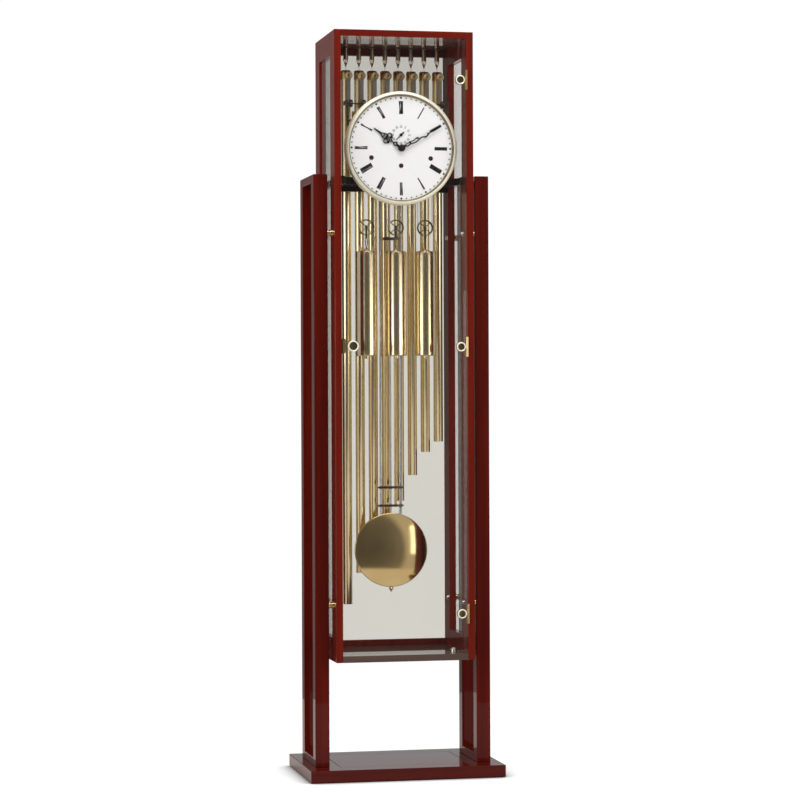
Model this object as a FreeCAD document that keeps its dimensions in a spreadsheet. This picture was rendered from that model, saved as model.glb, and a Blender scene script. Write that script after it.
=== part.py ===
import FreeCAD
import Part
import Sketcher
import math
import os
import re
from FreeCAD import Placement, Rotation, Vector

# Modern floor clock with tubular bells: a glazed case hung between two open side frames on a base plate.
# Millimetres. X to the right, Y to the back, Z up. Origin: middle of the footprint, on the floor.

doc = FreeCAD.newDocument("tubular_bell_clock")
sheet = doc.addObject("Spreadsheet::Sheet", "dims")

# Driving dimensions: alias, value, meaning
DRIVING = [
    ("base_width", 540, "base plate, left to right"),
    ("base_depth", 364, "base plate, front to back"),
    ("base_top", 34, "top of the base plate above the floor"),
    ("foot_gap", 2, "height of the glides under the base plate"),
    ("inlay_width", 360, "line inlaid round the middle of the base plate"),
    ("inlay_depth", 250, "line inlaid round the middle of the base plate"),
    ("inlay_line", 2, "width of the inlaid line"),
    ("stand_width", 490, "over both side frames"),
    ("stand_depth", 214, "side frame, front to back"),
    ("stand_top", 1649, "top of the side frames"),
    ("post_width", 39, "post of a side frame, left to right"),
    ("post_depth", 38, "post of a side frame, front to back"),
    ("rail_height", 22, "rail of a side frame"),
    ("edge_bevel", 1.2, "eased edge of the lacquered wood"),
    ("case_width", 387, "case, left to right"),
    ("case_depth", 294, "case, front to back"),
    ("case_bottom", 320, "underside of the case"),
    ("case_top", 2040, "top of the case"),
    ("side_thick", 19, "thickness of the case sides"),
    ("stile_width", 62, "stile of a case side, front to back"),
    ("side_rail", 64, "height of the rails in a case side"),
    ("board_thick", 18, "top and bottom boards of the case"),
    ("pane_thick", 4, "side and back panes"),
    ("back_rail", 17, "height of the back rails"),
    ("back_rail_thick", 12, "thickness of the back rails"),
    ("spacer_radius", 9.25, "brass spacers between side frame and case"),
    ("spacer_y", 95, "spacers from the middle, front and back"),
    ("spacer_high", 1490, "height of the upper spacers"),
    ("spacer_low", 474, "height of the lower spacers"),
    ("door_thick", 6, "door pane"),
    ("door_gap", 1.5, "gap round the door pane"),
    ("hinge_side_gap", 3, "gap between the door pane and the right stile"),
    ("door_bevel", 8, "width of the bevel on the door pane"),
    ("door_bevel_drop", 1.5, "depth of the bevel on the door pane"),
    ("hinge_high", 1909, "height of the top hinge"),
    ("hinge_step", 731, "from one hinge to the next"),
    ("hinge_disc", 13, "radius of the clamp disc of a hinge"),
    ("hinge_disc_x", 157, "clamp discs from the middle"),
    ("hinge_axis_x", 174, "hinge line from the middle"),
    ("hinge_axis_y", -150, "hinge line, just in front of the door"),
    ("knuckle_radius", 3, "hinge knuckle"),
    ("hinge_pin", 1.5, "radius of the hinge pin"),
    ("knuckle_bore", 1.56, "bore of the moving knuckle"),
    ("leaf_height", 54, "hinge leaf"),
    ("knob_x", -144, "door knob from the middle"),
    ("knob_z", 1180, "height of the door knob"),
    ("knob_radius", 15, "disc of the door knob"),
    ("seat_top", 1644, "top of the seat board"),
    ("seat_thick", 20, "seat board and its bearers"),
    ("seat_front", -86, "front edge of the seat board"),
    ("seat_back", 60, "back edge of the seat board"),
    ("bearer_width", 14, "bearers along the case sides, left to right"),
    ("bearer_front", -128, "front end of the bearers"),
    ("bearer_back", 134, "back end of the bearers"),
    ("dial_y", -105, "front face of the dial"),
    ("dial_z", 1723, "height of the middle of the dial"),
    ("dial_radius", 150, "dial plate"),
    ("bezel_radius", 156, "outside of the bezel"),
    ("bezel_sight", 142.5, "inside of the bezel"),
    ("bezel_back", -90, "back of the bezel"),
    ("minute_ring", 138, "radius of the minute dots"),
    ("numeral_inner", 94, "inner radius of the numerals"),
    ("numeral_outer", 129, "outer radius of the numerals"),
    ("wind_x", 83, "side winding squares from the middle"),
    ("wind_drop", 27, "side winding squares below the dial middle"),
    ("wind_mid_drop", 48, "middle winding square below the dial middle"),
    ("wind_hole", 6, "radius of a winding hole"),
    ("seconds_rise", 36.5, "seconds arbor above the dial middle"),
    ("pallet_rise", 66, "pallet arbor above the dial middle"),
    ("plate_front", -80, "front face of the front movement plate"),
    ("plate_gap", 84, "between the movement plates"),
    ("plate_thick", 4, "movement plate"),
    ("plate_width", 230, "movement plate"),
    ("plate_height", 190, "movement plate"),
    ("drum_radius", 20, "winding drum at the middle of the cable"),
    ("cable_radius", 0.8, "weight cable"),
    ("cable_y", -28, "plane of the cables, pulleys and weights"),
    ("pulley_z", 1510, "height of the pulley pins"),
    ("pulley_radius", 22.5, "outside of a pulley"),
    ("weight_radius", 30, "weight shell"),
    ("weight_base", 1155, "bottom of a weight shell"),
    ("weight_length", 290, "weight shell"),
    ("pendulum_y", 55, "plane of the pendulum"),
    ("bob_z", 613, "height of the middle of the bob"),
    ("bob_radius", 103.5, "pendulum bob"),
    ("bob_half", 16, "half the thickness of the bob"),
    ("bob_rim", 4, "half the thickness of the bob at its rim"),
    ("rod_spread", 27.7, "outer pendulum rods from the middle"),
    ("rod_radius", 4, "pendulum rod"),
    ("bar_top", 1600, "upper bar of the gridiron"),
    ("bar_short", 1488, "bridge that hangs the middle rod from the two brass rods"),
    ("bar_mid", 788, "middle bar of the gridiron"),
    ("bar_low", 737, "lower bar of the gridiron"),
    ("tube_y", 90, "plane of the tubular bells"),
    ("tube_top", 1957, "top of the tubular bells"),
    ("tube_radius", 13, "outside of a bell tube"),
    ("tube_wall", 1.3, "wall of a bell tube"),
    ("tube_cap", 14, "radius of a bell cap"),
    ("tube_first_x", -116.9, "first bell from the middle"),
    ("tube_pitch", 37.4, "from one bell to the next"),
    ("hanger_radius", 7, "hanging post of a bell"),
    ("hammer_y", 62, "plane of the hammer pivots"),
    ("hammer_shift", 3, "hammers to the right of their bells"),
    ("hammer_pivot_z", 1862, "height of the hammer pivots"),
    ("hammer_z", 1940, "height of the hammer heads"),
    ("hammer_radius", 10.8, "hammer head"),
    ("hammer_length", 16, "hammer head"),
    ("barrel_y", 34, "chime barrel"),
    ("barrel_z", 1859, "chime barrel"),
    ("barrel_radius", 10, "chime barrel"),
]
SIZE = {}
for row, (alias, value, meaning) in enumerate(DRIVING, start=1):
    sheet.set("A%d" % row, meaning)
    sheet.set("B%d" % row, str(value))
    sheet.setAlias("B%d" % row, alias)
    SIZE[alias] = value
doc.recompute()

# Real lengths of the eight bells, from the longest on the left to the shortest
BELL_LENGTHS = [1496, 1409, 1333, 1290, 1208, 1136, 1071, 1042]
BELLS = len(BELL_LENGTHS)
SIDES = {"left": -1, "right": 1}
WEIGHT_PLACES = {"left": -1, "centre": 0, "right": 1}
CLOCK_HOUR = 305
CLOCK_MINUTE = 61
CLOCK_SECOND = 226
AXIS_TURN = {
    "X": Rotation(Vector(0, 1, 0), 90),
    "Y": Rotation(Vector(1, 0, 0), -90),
    "Z": Rotation(),
}
nodes = []


# Small helpers

def cell(formula):
    """Point every size named in a formula at its cell of the sheet."""
    def point(match):
        word = match.group(0)
        return "dims." + word if word in SIZE else word
    return re.sub(r"[a-z_][a-z0-9_]*", point, str(formula))


def bind(thing, prop, formula):
    thing.setExpression(prop, cell(formula))


def locate(thing, x, y, z, turn=None):
    """Place a thing at formulas for X, Y and Z."""
    if turn is not None:
        thing.Placement = Placement(Vector(), turn)
    bind(thing, "Placement.Base.x", x)
    bind(thing, "Placement.Base.y", y)
    bind(thing, "Placement.Base.z", z)
    return thing


def block(name, dx, dy, dz, x, y, z, turn=None):
    piece = doc.addObject("Part::Box", name)
    bind(piece, "Length", dx)
    bind(piece, "Width", dy)
    bind(piece, "Height", dz)
    return locate(piece, x, y, z, turn)


def rod(name, radius, length, x, y, z, along="Z"):
    piece = doc.addObject("Part::Cylinder", name)
    bind(piece, "Radius", radius)
    bind(piece, "Height", length)
    return locate(piece, x, y, z, AXIS_TURN[along])


def ring(name, radius, thick, x, y, z, along="Z", sweep=360):
    piece = doc.addObject("Part::Torus", name)
    bind(piece, "Radius1", radius)
    bind(piece, "Radius2", thick)
    piece.Angle3 = sweep
    return locate(piece, x, y, z, AXIS_TURN[along])


def ball(name, radius, x, y, z):
    piece = doc.addObject("Part::Sphere", name)
    bind(piece, "Radius", radius)
    return locate(piece, x, y, z)


def join(name, *pieces):
    whole = doc.addObject("Part::MultiFuse", name)
    whole.Shapes = list(pieces)
    whole.Refine = True
    return whole


def common(name, *pieces):
    whole = doc.addObject("Part::MultiCommon", name)
    whole.Shapes = list(pieces)
    return whole


def cut(name, base, *tools):
    tool = tools[0] if len(tools) == 1 else join(name + "_tools", *tools)
    whole = doc.addObject("Part::Cut", name)
    whole.Base = base
    whole.Tool = tool
    return whole


def group(name, *pieces):
    """Like pieces that stay separate solids of one node."""
    whole = doc.addObject("Part::Compound", name)
    whole.Links = list(pieces)
    return whole


def node(name, piece):
    piece.Label = name
    nodes.append(piece)
    return piece


def plane(body, role):
    for feature in body.Origin.OriginFeatures:
        if feature.Role == role:
            return feature
    raise ValueError(role)


def board(name, dx, dy, dz, x, y, z, bevel="edge_bevel"):
    """A lacquered piece of wood with eased edges, its first corner at X, Y, Z."""
    body = doc.addObject("PartDesign::Body", name)
    sketch = body.newObject("Sketcher::SketchObject", name + "_outline")
    sketch.AttachmentSupport = [(plane(body, "XY_Plane"), "")]
    sketch.MapMode = "FlatFace"
    corners = [Vector(0, 0, 0), Vector(10, 0, 0), Vector(10, 10, 0), Vector(0, 10, 0)]
    for i in range(4):
        sketch.addGeometry(Part.LineSegment(corners[i], corners[(i + 1) % 4]), False)
    for i in range(4):
        sketch.addConstraint(Sketcher.Constraint("Coincident", i, 2, (i + 1) % 4, 1))
    for i in (0, 2):
        sketch.addConstraint(Sketcher.Constraint("Horizontal", i))
        sketch.addConstraint(Sketcher.Constraint("Vertical", i + 1))
    sketch.addConstraint(Sketcher.Constraint("Coincident", 0, 1, -1, 1))
    across = sketch.addConstraint(Sketcher.Constraint("DistanceX", 0, 1, 0, 2, 10))
    sketch.setExpression("Constraints[%d]" % across, cell(dx))
    along = sketch.addConstraint(Sketcher.Constraint("DistanceY", 1, 1, 1, 2, 10))
    sketch.setExpression("Constraints[%d]" % along, cell(dy))
    pad = body.newObject("PartDesign::Pad", name + "_thickness")
    pad.Profile = sketch
    bind(pad, "Length", dz)
    doc.recompute()
    eased = body.newObject("PartDesign::Chamfer", name + "_edges")
    eased.Base = (pad, ["Edge1"])
    eased.UseAllEdges = True
    bind(eased, "Size", bevel)
    body.Tip = eased
    locate(body, x, y, z)
    return body


def turned(name, outline, x, y, z, along="Z"):
    """A turned piece. The outline is (radius, height) formulas that start and end on the axis."""
    body = doc.addObject("PartDesign::Body", name)
    sketch = body.newObject("Sketcher::SketchObject", name + "_profile")
    sketch.AttachmentSupport = [(plane(body, "XZ_Plane"), "")]
    sketch.MapMode = "FlatFace"
    count = len(outline)
    guess = [Vector(3.0 + 2 * math.sin(i), 5.0 * i, 0) for i in range(count)]
    for i in range(count):
        sketch.addGeometry(Part.LineSegment(guess[i], guess[(i + 1) % count]), False)
    for i in range(count):
        sketch.addConstraint(Sketcher.Constraint("Coincident", i, 2, (i + 1) % count, 1))
    for i, (radius, height) in enumerate(outline):
        if radius == 0:
            sketch.addConstraint(Sketcher.Constraint("PointOnObject", i, 1, -2))
        else:
            number = sketch.addConstraint(Sketcher.Constraint("DistanceX", -1, 1, i, 1, 5))
            sketch.setExpression("Constraints[%d]" % number, cell(radius))
        if height == 0:
            sketch.addConstraint(Sketcher.Constraint("PointOnObject", i, 1, -1))
        else:
            number = sketch.addConstraint(Sketcher.Constraint("DistanceY", -1, 1, i, 1, 5))
            sketch.setExpression("Constraints[%d]" % number, cell(height))
    spin = body.newObject("PartDesign::Revolution", name + "_turning")
    spin.Profile = sketch
    spin.ReferenceAxis = (sketch, ["V_Axis"])
    spin.Angle = 360
    body.Tip = spin
    locate(body, x, y, z, AXIS_TURN[along])
    return body


def shaped(name, shape):
    """A piece whose shape is built in this script from the sheet's sizes."""
    piece = doc.addObject("Part::Feature", name)
    piece.Shape = shape
    return piece


def front_prism(corners, thick):
    """A flat piece that faces the front: corners are (right, up), thickness runs to the back."""
    loop = [Vector(x, 0, z) for x, z in corners]
    face = Part.Face(Part.makePolygon(loop + loop[:1]))
    return face.extrude(Vector(0, thick, 0))


def front_disc(radius, thick, x=0, z=0, y=0):
    return Part.makeCylinder(radius, thick, Vector(x, y, z), Vector(0, 1, 0))


def front_ring(outer, inner, thick, x=0, z=0):
    return front_disc(outer, thick, x, z).cut(front_disc(inner, thick + 2, x, z, -1))


def gear(radius, teeth, thick, bore, spokes):
    """A spoked brass wheel with plain pointed teeth, facing the front."""
    depth = 2.2 * radius / teeth
    corners = []
    for i in range(teeth):
        for part_turn, reach in ((0.0, radius - depth), (0.3, radius), (0.5, radius), (0.8, radius - depth)):
            angle = 2 * math.pi * (i + part_turn) / teeth
            corners.append((reach * math.cos(angle), reach * math.sin(angle)))
    wheel = front_prism(corners, thick)
    rim = radius - depth - 4
    hub = bore + 5
    if spokes:
        hollow = front_ring(rim, hub, thick)
        arm = 2.5
        for i in range(spokes):
            bar = Part.makeBox(rim + 2, thick + 2, 2 * arm, Vector(0, -1, -arm))
            bar.rotate(Vector(), Vector(0, 1, 0), 360.0 * i / spokes)
            hollow = hollow.cut(bar)
        wheel = wheel.cut(hollow)
    return wheel.cut(front_disc(bore, thick + 2, 0, 0, -1))


# Base plate: lacquered slab with an inlaid line, on four glides

def base():
    slab = board("base_slab", "base_width", "base_depth", "base_top - foot_gap",
                 "-base_width / 2", "-base_depth / 2", "foot_gap")
    outer = block("inlay_outer", "inlay_width", "inlay_depth", 2,
                  "-inlay_width / 2", "-inlay_depth / 2", "base_top - 1")
    inner = block("inlay_inner", "inlay_width - 2 * inlay_line", "inlay_depth - 2 * inlay_line", 4,
                  "-inlay_width / 2 + inlay_line", "-inlay_depth / 2 + inlay_line", "base_top - 2")
    line = cut("inlay_line_cutter", outer, inner)
    holes = [line]
    bolts = []
    glides = []
    for side, sign in SIDES.items():
        for end, toward in (("front", -1), ("back", 1)):
            tag = "%s_%s" % (side, end)
            post_x = "%d * (stand_width - post_width) / 2" % sign
            post_y = "%d * (stand_depth - post_depth) / 2" % toward
            holes.append(rod("bolt_hole_" + tag, 4.2, "base_top", post_x, post_y, 0))
            holes.append(rod("head_hole_" + tag, 8.5, 10, post_x, post_y, "foot_gap - 1"))
            shank = rod("bolt_shank_" + tag, 4, "base_top + 20", post_x, post_y, "foot_gap + 3")
            head = rod("bolt_head_" + tag, 7, 6, post_x, post_y, "foot_gap + 3")
            bolts.append(join("stand_bolt_" + tag, shank, head))
            glide_x = "%d * (base_width / 2 - 28)" % sign
            glide_y = "%d * (base_depth / 2 - 28)" % toward
            holes.append(rod("glide_hole_" + tag, 4.2, 14, glide_x, glide_y, "foot_gap - 1"))
            pad = rod("glide_pad_" + tag, 16, "foot_gap", glide_x, glide_y, 0)
            stem = rod("glide_stem_" + tag, 4, "foot_gap + 12", glide_x, glide_y, 0)
            glides.append(join("glide_" + tag, pad, stem))
    node("base_plate", cut("base_plate_body", slab, *holes))
    node("levelling_feet", group("glide_set", *glides))
    node("stand_bolts", group("bolt_set", *bolts))


# Side frames: four posts and four rails

def stand():
    posts = []
    rails = []
    for side, sign in SIDES.items():
        left_face = "-stand_width / 2" if sign < 0 else "stand_width / 2 - post_width"
        for end, toward in (("front", -1), ("back", 1)):
            near_face = "-stand_depth / 2" if toward < 0 else "stand_depth / 2 - post_depth"
            tag = "%s_%s" % (side, end)
            post = board("post_wood_" + tag, "post_width", "post_depth", "stand_top - base_top",
                         left_face, near_face, "base_top")
            post_x = "%d * (stand_width - post_width) / 2" % sign
            post_y = "%d * (stand_depth - post_depth) / 2" % toward
            bolt_hole = rod("post_bolt_hole_" + tag, 4.1, 26, post_x, post_y, "base_top - 1")
            inner_face = "%d * (stand_width / 2 - post_width) - 12" % sign
            pins = []
            for level in ("high", "low"):
                pins.append(rod("post_pin_hole_%s_%s" % (tag, level), 4.1, 24, inner_face,
                                "%d * spacer_y" % toward, "spacer_" + level, "X"))
            posts.append(cut("post_" + tag, post, bolt_hole, *pins))
        for level, height in (("top", "stand_top - rail_height"), ("bottom", "base_top")):
            rails.append(board("rail_%s_%s" % (side, level), "post_width", "stand_depth - 2 * post_depth",
                               "rail_height", left_face, "-stand_depth / 2 + post_depth", height))
    node("stand_posts", group("post_set", *posts))
    node("stand_rails", group("rail_set", *rails))


# Turned brass spacers that carry the case between the side frames

def spacers():
    made = []
    gap = "(stand_width / 2 - post_width - case_width / 2)"
    for side, sign in SIDES.items():
        for end, toward in (("front", -1), ("back", 1)):
            for level in ("high", "low"):
                tag = "%s_%s_%s" % (side, end, level)
                start = "case_width / 2" if sign > 0 else "-case_width / 2 - %s" % gap
                y = "%d * spacer_y" % toward
                z = "spacer_" + level
                first = rod("spacer_rim_a_" + tag, "spacer_radius", 3.5, start, y, z, "X")
                far_end = start + " + %s - 3.5" % gap
                last = rod("spacer_rim_b_" + tag, "spacer_radius", 3.5, far_end, y, z, "X")
                waist = rod("spacer_waist_" + tag, "spacer_radius - 2.2", gap, start, y, z, "X")
                stud = rod("spacer_stud_" + tag, 4, gap + " + 22", start + " - 11", y, z, "X")
                made.append(join("spacer_" + tag, first, last, waist, stud))
    node("case_spacers", group("spacer_set", *made))


# Case: glazed sides with lacquered stiles and rails, top and bottom boards, glazed back

def case():
    stiles = []
    rails = []
    panes = []
    for side, sign in SIDES.items():
        left_face = "-case_width / 2" if sign < 0 else "case_width / 2 - side_thick"
        outer_face = "-case_width / 2" if sign < 0 else "case_width / 2"
        for end, toward in (("front", -1), ("back", 1)):
            near_face = "-case_depth / 2" if toward < 0 else "case_depth / 2 - stile_width"
            tag = "%s_%s" % (side, end)
            wood = board("stile_wood_" + tag, "side_thick", "stile_width", "case_top - case_bottom",
                         left_face, near_face, "case_bottom")
            pins = []
            for level in ("high", "low"):
                pins.append(rod("stile_pin_hole_%s_%s" % (tag, level), 4.1, 24, outer_face + " - 12",
                                "%d * spacer_y" % toward, "spacer_" + level, "X"))
            stiles.append(cut("stile_" + tag, wood, *pins))
        for level, height in (("top", "case_top - side_rail"), ("bottom", "case_bottom")):
            rails.append(board("side_rail_%s_%s" % (side, level), "side_thick", "case_depth - 2 * stile_width",
                               "side_rail", left_face, "-case_depth / 2 + stile_width", height))
        pane_x = "-case_width / 2 + 4" if sign < 0 else "case_width / 2 - 4 - pane_thick"
        panes.append(block("side_pane_" + side, "pane_thick", "case_depth - 2 * stile_width",
                           "case_top - case_bottom - 2 * side_rail", pane_x,
                           "-case_depth / 2 + stile_width", "case_bottom + side_rail"))
    node("case_stiles", group("stile_set", *stiles))
    node("side_panes", group("side_pane_set", *panes))
    clear_width = "case_width - 2 * side_thick"
    left = "-case_width / 2 + side_thick"
    top = board("top_wood", clear_width, "case_depth", "board_thick", left, "-case_depth / 2",
                "case_top - board_thick", 0.6)
    screw_holes = [rod("hanger_hole_%d" % i, 3.1, 12, bell_x(i), "tube_y", "case_top - board_thick - 1")
                   for i in range(BELLS)]
    node("case_top_board", cut("case_top_body", top, *screw_holes))
    node("case_bottom_board", board("bottom_wood", clear_width, "case_depth", "board_thick", left,
                                    "-case_depth / 2", "case_bottom", 0.6))
    back_y = "case_depth / 2 - back_rail_thick"
    upper = board("back_rail_upper", clear_width, "back_rail_thick", "back_rail", left, back_y,
                  "case_top - board_thick - back_rail", 0.6)
    lower = board("back_rail_lower", clear_width, "back_rail_thick", "back_rail", left, back_y,
                  "case_bottom + board_thick", 0.6)
    node("case_rails", group("case_rail_set", upper, lower, *rails))
    node("back_pane", block("back_glass", clear_width, "pane_thick",
                            "case_top - case_bottom - 2 * board_thick - 2 * back_rail", left,
                            back_y + " + 4", "case_bottom + board_thick + back_rail"))


# Door: one bevelled pane, three clamp hinges on the right stile, a knob and a catch on the left

def door():
    width = "(case_width - 2 * side_thick - door_gap - hinge_side_gap)"
    height = "(case_top - case_bottom - 2 * board_thick - 2 * door_gap)"
    left_edge = "-case_width / 2 + side_thick + door_gap"
    low_edge = "case_bottom + board_thick + door_gap"
    front = "-case_depth / 2"
    back = "-case_depth / 2 + door_thick"
    holes = []
    clamps = []
    leaves = []
    for number in range(3):
        level = "hinge_high - %d * hinge_step" % number
        tag = str(number + 1)
        holes.append(rod("clamp_hole_" + tag, 5, 20, "hinge_disc_x", front + " - 5", level, "Y"))
        outer = turned("clamp_disc_" + tag, [(0, 0), ("hinge_disc - 3", 0), ("hinge_disc", 1.5),
                                             ("hinge_disc", 3), (0, 3)],
                       "hinge_disc_x", front + " - 3", level, "Y")
        inner = rod("clamp_back_" + tag, "hinge_disc", 2, "hinge_disc_x", back, level, "Y")
        neck = rod("clamp_neck_" + tag, 4.8, "door_thick + 3", "hinge_disc_x", front + " - 1", level, "Y")
        arm = block("clamp_arm_" + tag, "hinge_axis_x - hinge_disc_x", 2.4, 17, "hinge_disc_x",
                    front + " - 2.4", level + " - 8.5")
        knuckle = rod("moving_knuckle_" + tag, "knuckle_radius", 17, "hinge_axis_x", "hinge_axis_y",
                      level + " - 8.5")
        solid = join("clamp_solid_" + tag, outer, inner, neck, arm, knuckle)
        bore = rod("knuckle_bore_" + tag, "knuckle_bore", 30, "hinge_axis_x", "hinge_axis_y", level + " - 15")
        clamps.append(cut("door_hinge_" + tag, solid, bore))
        pin = rod("hinge_pin_" + tag, "hinge_pin", "leaf_height", "hinge_axis_x", "hinge_axis_y",
                  level + " - leaf_height / 2")
        parts = [pin]
        for place, start in (("low", "- leaf_height / 2"), ("high", "+ 9")):
            parts.append(rod("fixed_knuckle_%s_%s" % (place, tag), "knuckle_radius", "leaf_height / 2 - 9",
                             "hinge_axis_x", "hinge_axis_y", level + start))
            parts.append(block("knuckle_web_%s_%s" % (place, tag), 1.2, 6, "leaf_height / 2 - 9",
                               "case_width / 2 - side_thick - 1.2", "-case_depth / 2 - 4", level + start))
        parts.append(block("leaf_plate_" + tag, 1.2, 22, "leaf_height", "case_width / 2 - side_thick - 1.2",
                           "-case_depth / 2 + 1.5", level + " - leaf_height / 2"))
        leaves.append(join("hinge_leaf_" + tag, *parts))
    holes.append(rod("knob_hole", 4.5, 20, "knob_x", front + " - 5", "knob_z", "Y"))
    flat = block("door_flat", width, "door_thick - door_bevel_drop", height, left_edge,
                 front + " + door_bevel_drop", low_edge)
    face = doc.addObject("Part::Wedge", "door_face")
    for axis, extent in (("X", width), ("Z", height)):
        bind(face, axis + "min", "door_bevel")
        bind(face, axis + "max", "%s - door_bevel" % extent)
        bind(face, axis + "2min", 0)
        bind(face, axis + "2max", extent)
    bind(face, "Ymin", 0)
    bind(face, "Ymax", "door_bevel_drop")
    locate(face, left_edge, front, low_edge)
    node("door_pane", cut("door_drilled", join("door_glass", flat, face), *holes))
    node("door_hinges", group("clamp_set", *clamps))
    node("hinge_leaves", group("leaf_set", *leaves))
    disc = turned("knob_disc", [(0, 0), ("knob_radius - 5", 0), ("knob_radius - 3", 1.2), ("knob_radius", 2),
                                ("knob_radius", 4.5), (0, 4.5)],
                  "knob_x", front + " - 4.5", "knob_z", "Y")
    neck = rod("knob_neck", 4.2, "door_thick + 6", "knob_x", front + " - 3", "knob_z", "Y")
    washer = rod("knob_washer", 9, 3, "knob_x", back, "knob_z", "Y")
    arm = block("knob_arm", "case_width / 2 - side_thick - door_gap + knob_x", 2, 14,
                "-case_width / 2 + side_thick + door_gap", front + " - 2", "knob_z - 7")
    edge_plate = block("knob_edge_plate", 8, 2, 36, "-case_width / 2 + side_thick + door_gap",
                       front + " - 2", "knob_z - 18")
    node("door_knob", join("knob_body", disc, neck, washer, arm, edge_plate))
    block_part = block("catch_block", 9, 14, 40, "-case_width / 2 + side_thick", back + " + 0.5",
                       "knob_z - 20")
    magnet = rod("catch_magnet", 3, 2, "-case_width / 2 + side_thick + 4.5", back + " + 0.3", "knob_z", "Y")
    node("magnetic_catch", join("catch_body", block_part, magnet))


# Round spirit level that lies in the front corner of the case

def spirit_level():
    x = 145
    y = -92
    puck = turned("level_puck", [(0, 0), (9, 0), (9, 8), (8, 9.5), (6.5, 10), (5, 11.5), (0, 12)],
                  x, y, "case_bottom + board_thick")
    node("spirit_level", puck)


# Seat board on two bearers

def seat():
    inner_left = "-case_width / 2 + side_thick"
    wood = board("seat_wood", "case_width - 2 * side_thick - 2 * bearer_width", "seat_back - seat_front",
                 "seat_thick", inner_left + " + bearer_width", "seat_front", "seat_top - seat_thick")
    slots = [block("pendulum_notch", 60, 30, "seat_thick + 4", -30, "pendulum_y - 15",
                   "seat_top - seat_thick - 2")]
    anchors = []
    for name, sign in WEIGHT_PLACES.items():
        slots.append(block("cable_slot_" + name, 60, 22, "seat_thick + 4", "%d * wind_x - 30" % sign,
                           "cable_y - 11", "seat_top - seat_thick - 2"))
        anchors.append(block("anchor_" + name, 8, 34, 3, "%d * wind_x - drum_radius - 4" % sign,
                             "cable_y - 17", "seat_top"))
    batten = board("seat_batten", "case_width - 2 * side_thick - 2 * bearer_width", 16, 12,
                   inner_left + " + bearer_width", "seat_back - 40", "seat_top - seat_thick - 12")
    node("seat_board", join("seat_with_batten", cut("seat_body", wood, *slots), batten))
    bearers = []
    for side, sign in SIDES.items():
        x = inner_left if sign < 0 else "case_width / 2 - side_thick - bearer_width"
        bearers.append(board("bearer_" + side, "bearer_width", "bearer_back - bearer_front", "seat_thick",
                             x, "bearer_front", "seat_top - seat_thick"))
    node("seat_bearers", group("bearer_set", *bearers))
    node("cable_anchors", group("anchor_set", *anchors))


# Movement: two plates on pillars

PILLARS = [(-110, 9), (110, 9), (-100, 175), (100, 175), (0, 179)]
WIND_HEIGHT = {"left": "dial_z - wind_drop", "centre": "dial_z - wind_mid_drop",
               "right": "dial_z - wind_drop"}


def movement():
    back_face = "plate_front + plate_thick + plate_gap"
    plates = []
    for name, y in (("front", "plate_front"), ("back", back_face)):
        blank = block(name + "_blank", "plate_width", "plate_thick", "plate_height", "-plate_width / 2", y,
                      "seat_top")
        holes = []
        for place, sign in WEIGHT_PLACES.items():
            holes.append(rod("%s_arbor_hole_%s" % (name, place), 5.05, 20, "%d * wind_x" % sign, y + " - 5",
                             WIND_HEIGHT[place], "Y"))
        holes.append(rod(name + "_centre_hole", 3.05, 20, 0, y + " - 5", "dial_z", "Y"))
        holes.append(rod(name + "_seconds_hole", 1.56, 20, 0, y + " - 5", "dial_z + seconds_rise", "Y"))
        holes.append(rod(name + "_pallet_hole", 2.05, 20, 0, y + " - 5", "dial_z + pallet_rise", "Y"))
        for number, (x, height) in enumerate(PILLARS):
            holes.append(rod("%s_pillar_hole_%d" % (name, number), 3.1, 20, x, y + " - 5",
                             "seat_top + %d" % height, "Y"))
        plates.append(cut(name + "_plate_body", blank, *holes))
    node("movement_plates", group("plate_set", *plates))
    pillars = []
    for number, (x, height) in enumerate(PILLARS):
        z = "seat_top + %d" % height
        body = rod("pillar_body_%d" % number, 6, "plate_gap", x, "plate_front + plate_thick", z, "Y")
        ends = rod("pillar_ends_%d" % number, 3, "plate_gap + 2 * plate_thick + 8", x, "plate_front - 4",
                   z, "Y")
        pillars.append(join("pillar_%d" % number, body, ends))
    node("plate_pillars", group("pillar_set", *pillars))


# Dial with its feet, bezel, numerals

def dial():
    plate = rod("dial_disc", "dial_radius - 0.2", 2, 0, "dial_y", "dial_z", "Y")
    feet = []
    for number, (x, z) in enumerate([(-100, 60), (100, 60), (-100, -70), (100, -70)]):
        feet.append(rod("dial_foot_%d" % number, 3, "plate_front - dial_y", x, "dial_y",
                        "dial_z + %d" % z, "Y"))
    body = join("dial_with_feet", plate, *feet)
    holes = [rod("dial_centre_hole", 6, 10, 0, "dial_y - 4", "dial_z", "Y"),
             rod("dial_seconds_hole", 2, 10, 0, "dial_y - 4", "dial_z + seconds_rise", "Y")]
    for name, sign in WEIGHT_PLACES.items():
        holes.append(rod("winding_hole_" + name, "wind_hole", 10, "%d * wind_x" % sign, "dial_y - 4",
                         WIND_HEIGHT[name], "Y"))
    node("dial_plate", cut("dial_body", body, *holes))
    outer = rod("bezel_wall", "bezel_radius - 2", "bezel_back - dial_y + 6", 0, "dial_y - 6", "dial_z", "Y")
    flange = rod("bezel_flange", "bezel_radius", 2, 0, "bezel_back - 2", "dial_z", "Y")
    dome = ring("bezel_dome", "(bezel_radius + bezel_sight) / 2", "(bezel_radius - bezel_sight) / 2 - 0.5",
                0, "dial_y - 4.5", "dial_z", "Y")
    sight = rod("bezel_bore", "bezel_sight", 40, 0, "dial_y - 15", "dial_z", "Y")
    rebate = rod("bezel_rebate", "dial_radius", 30, 0, "dial_y", "dial_z", "Y")
    node("dial_bezel", cut("bezel_body", join("bezel_solid", outer, flange, dome), sight, rebate))


MARK_THICK = 0.5
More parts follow.
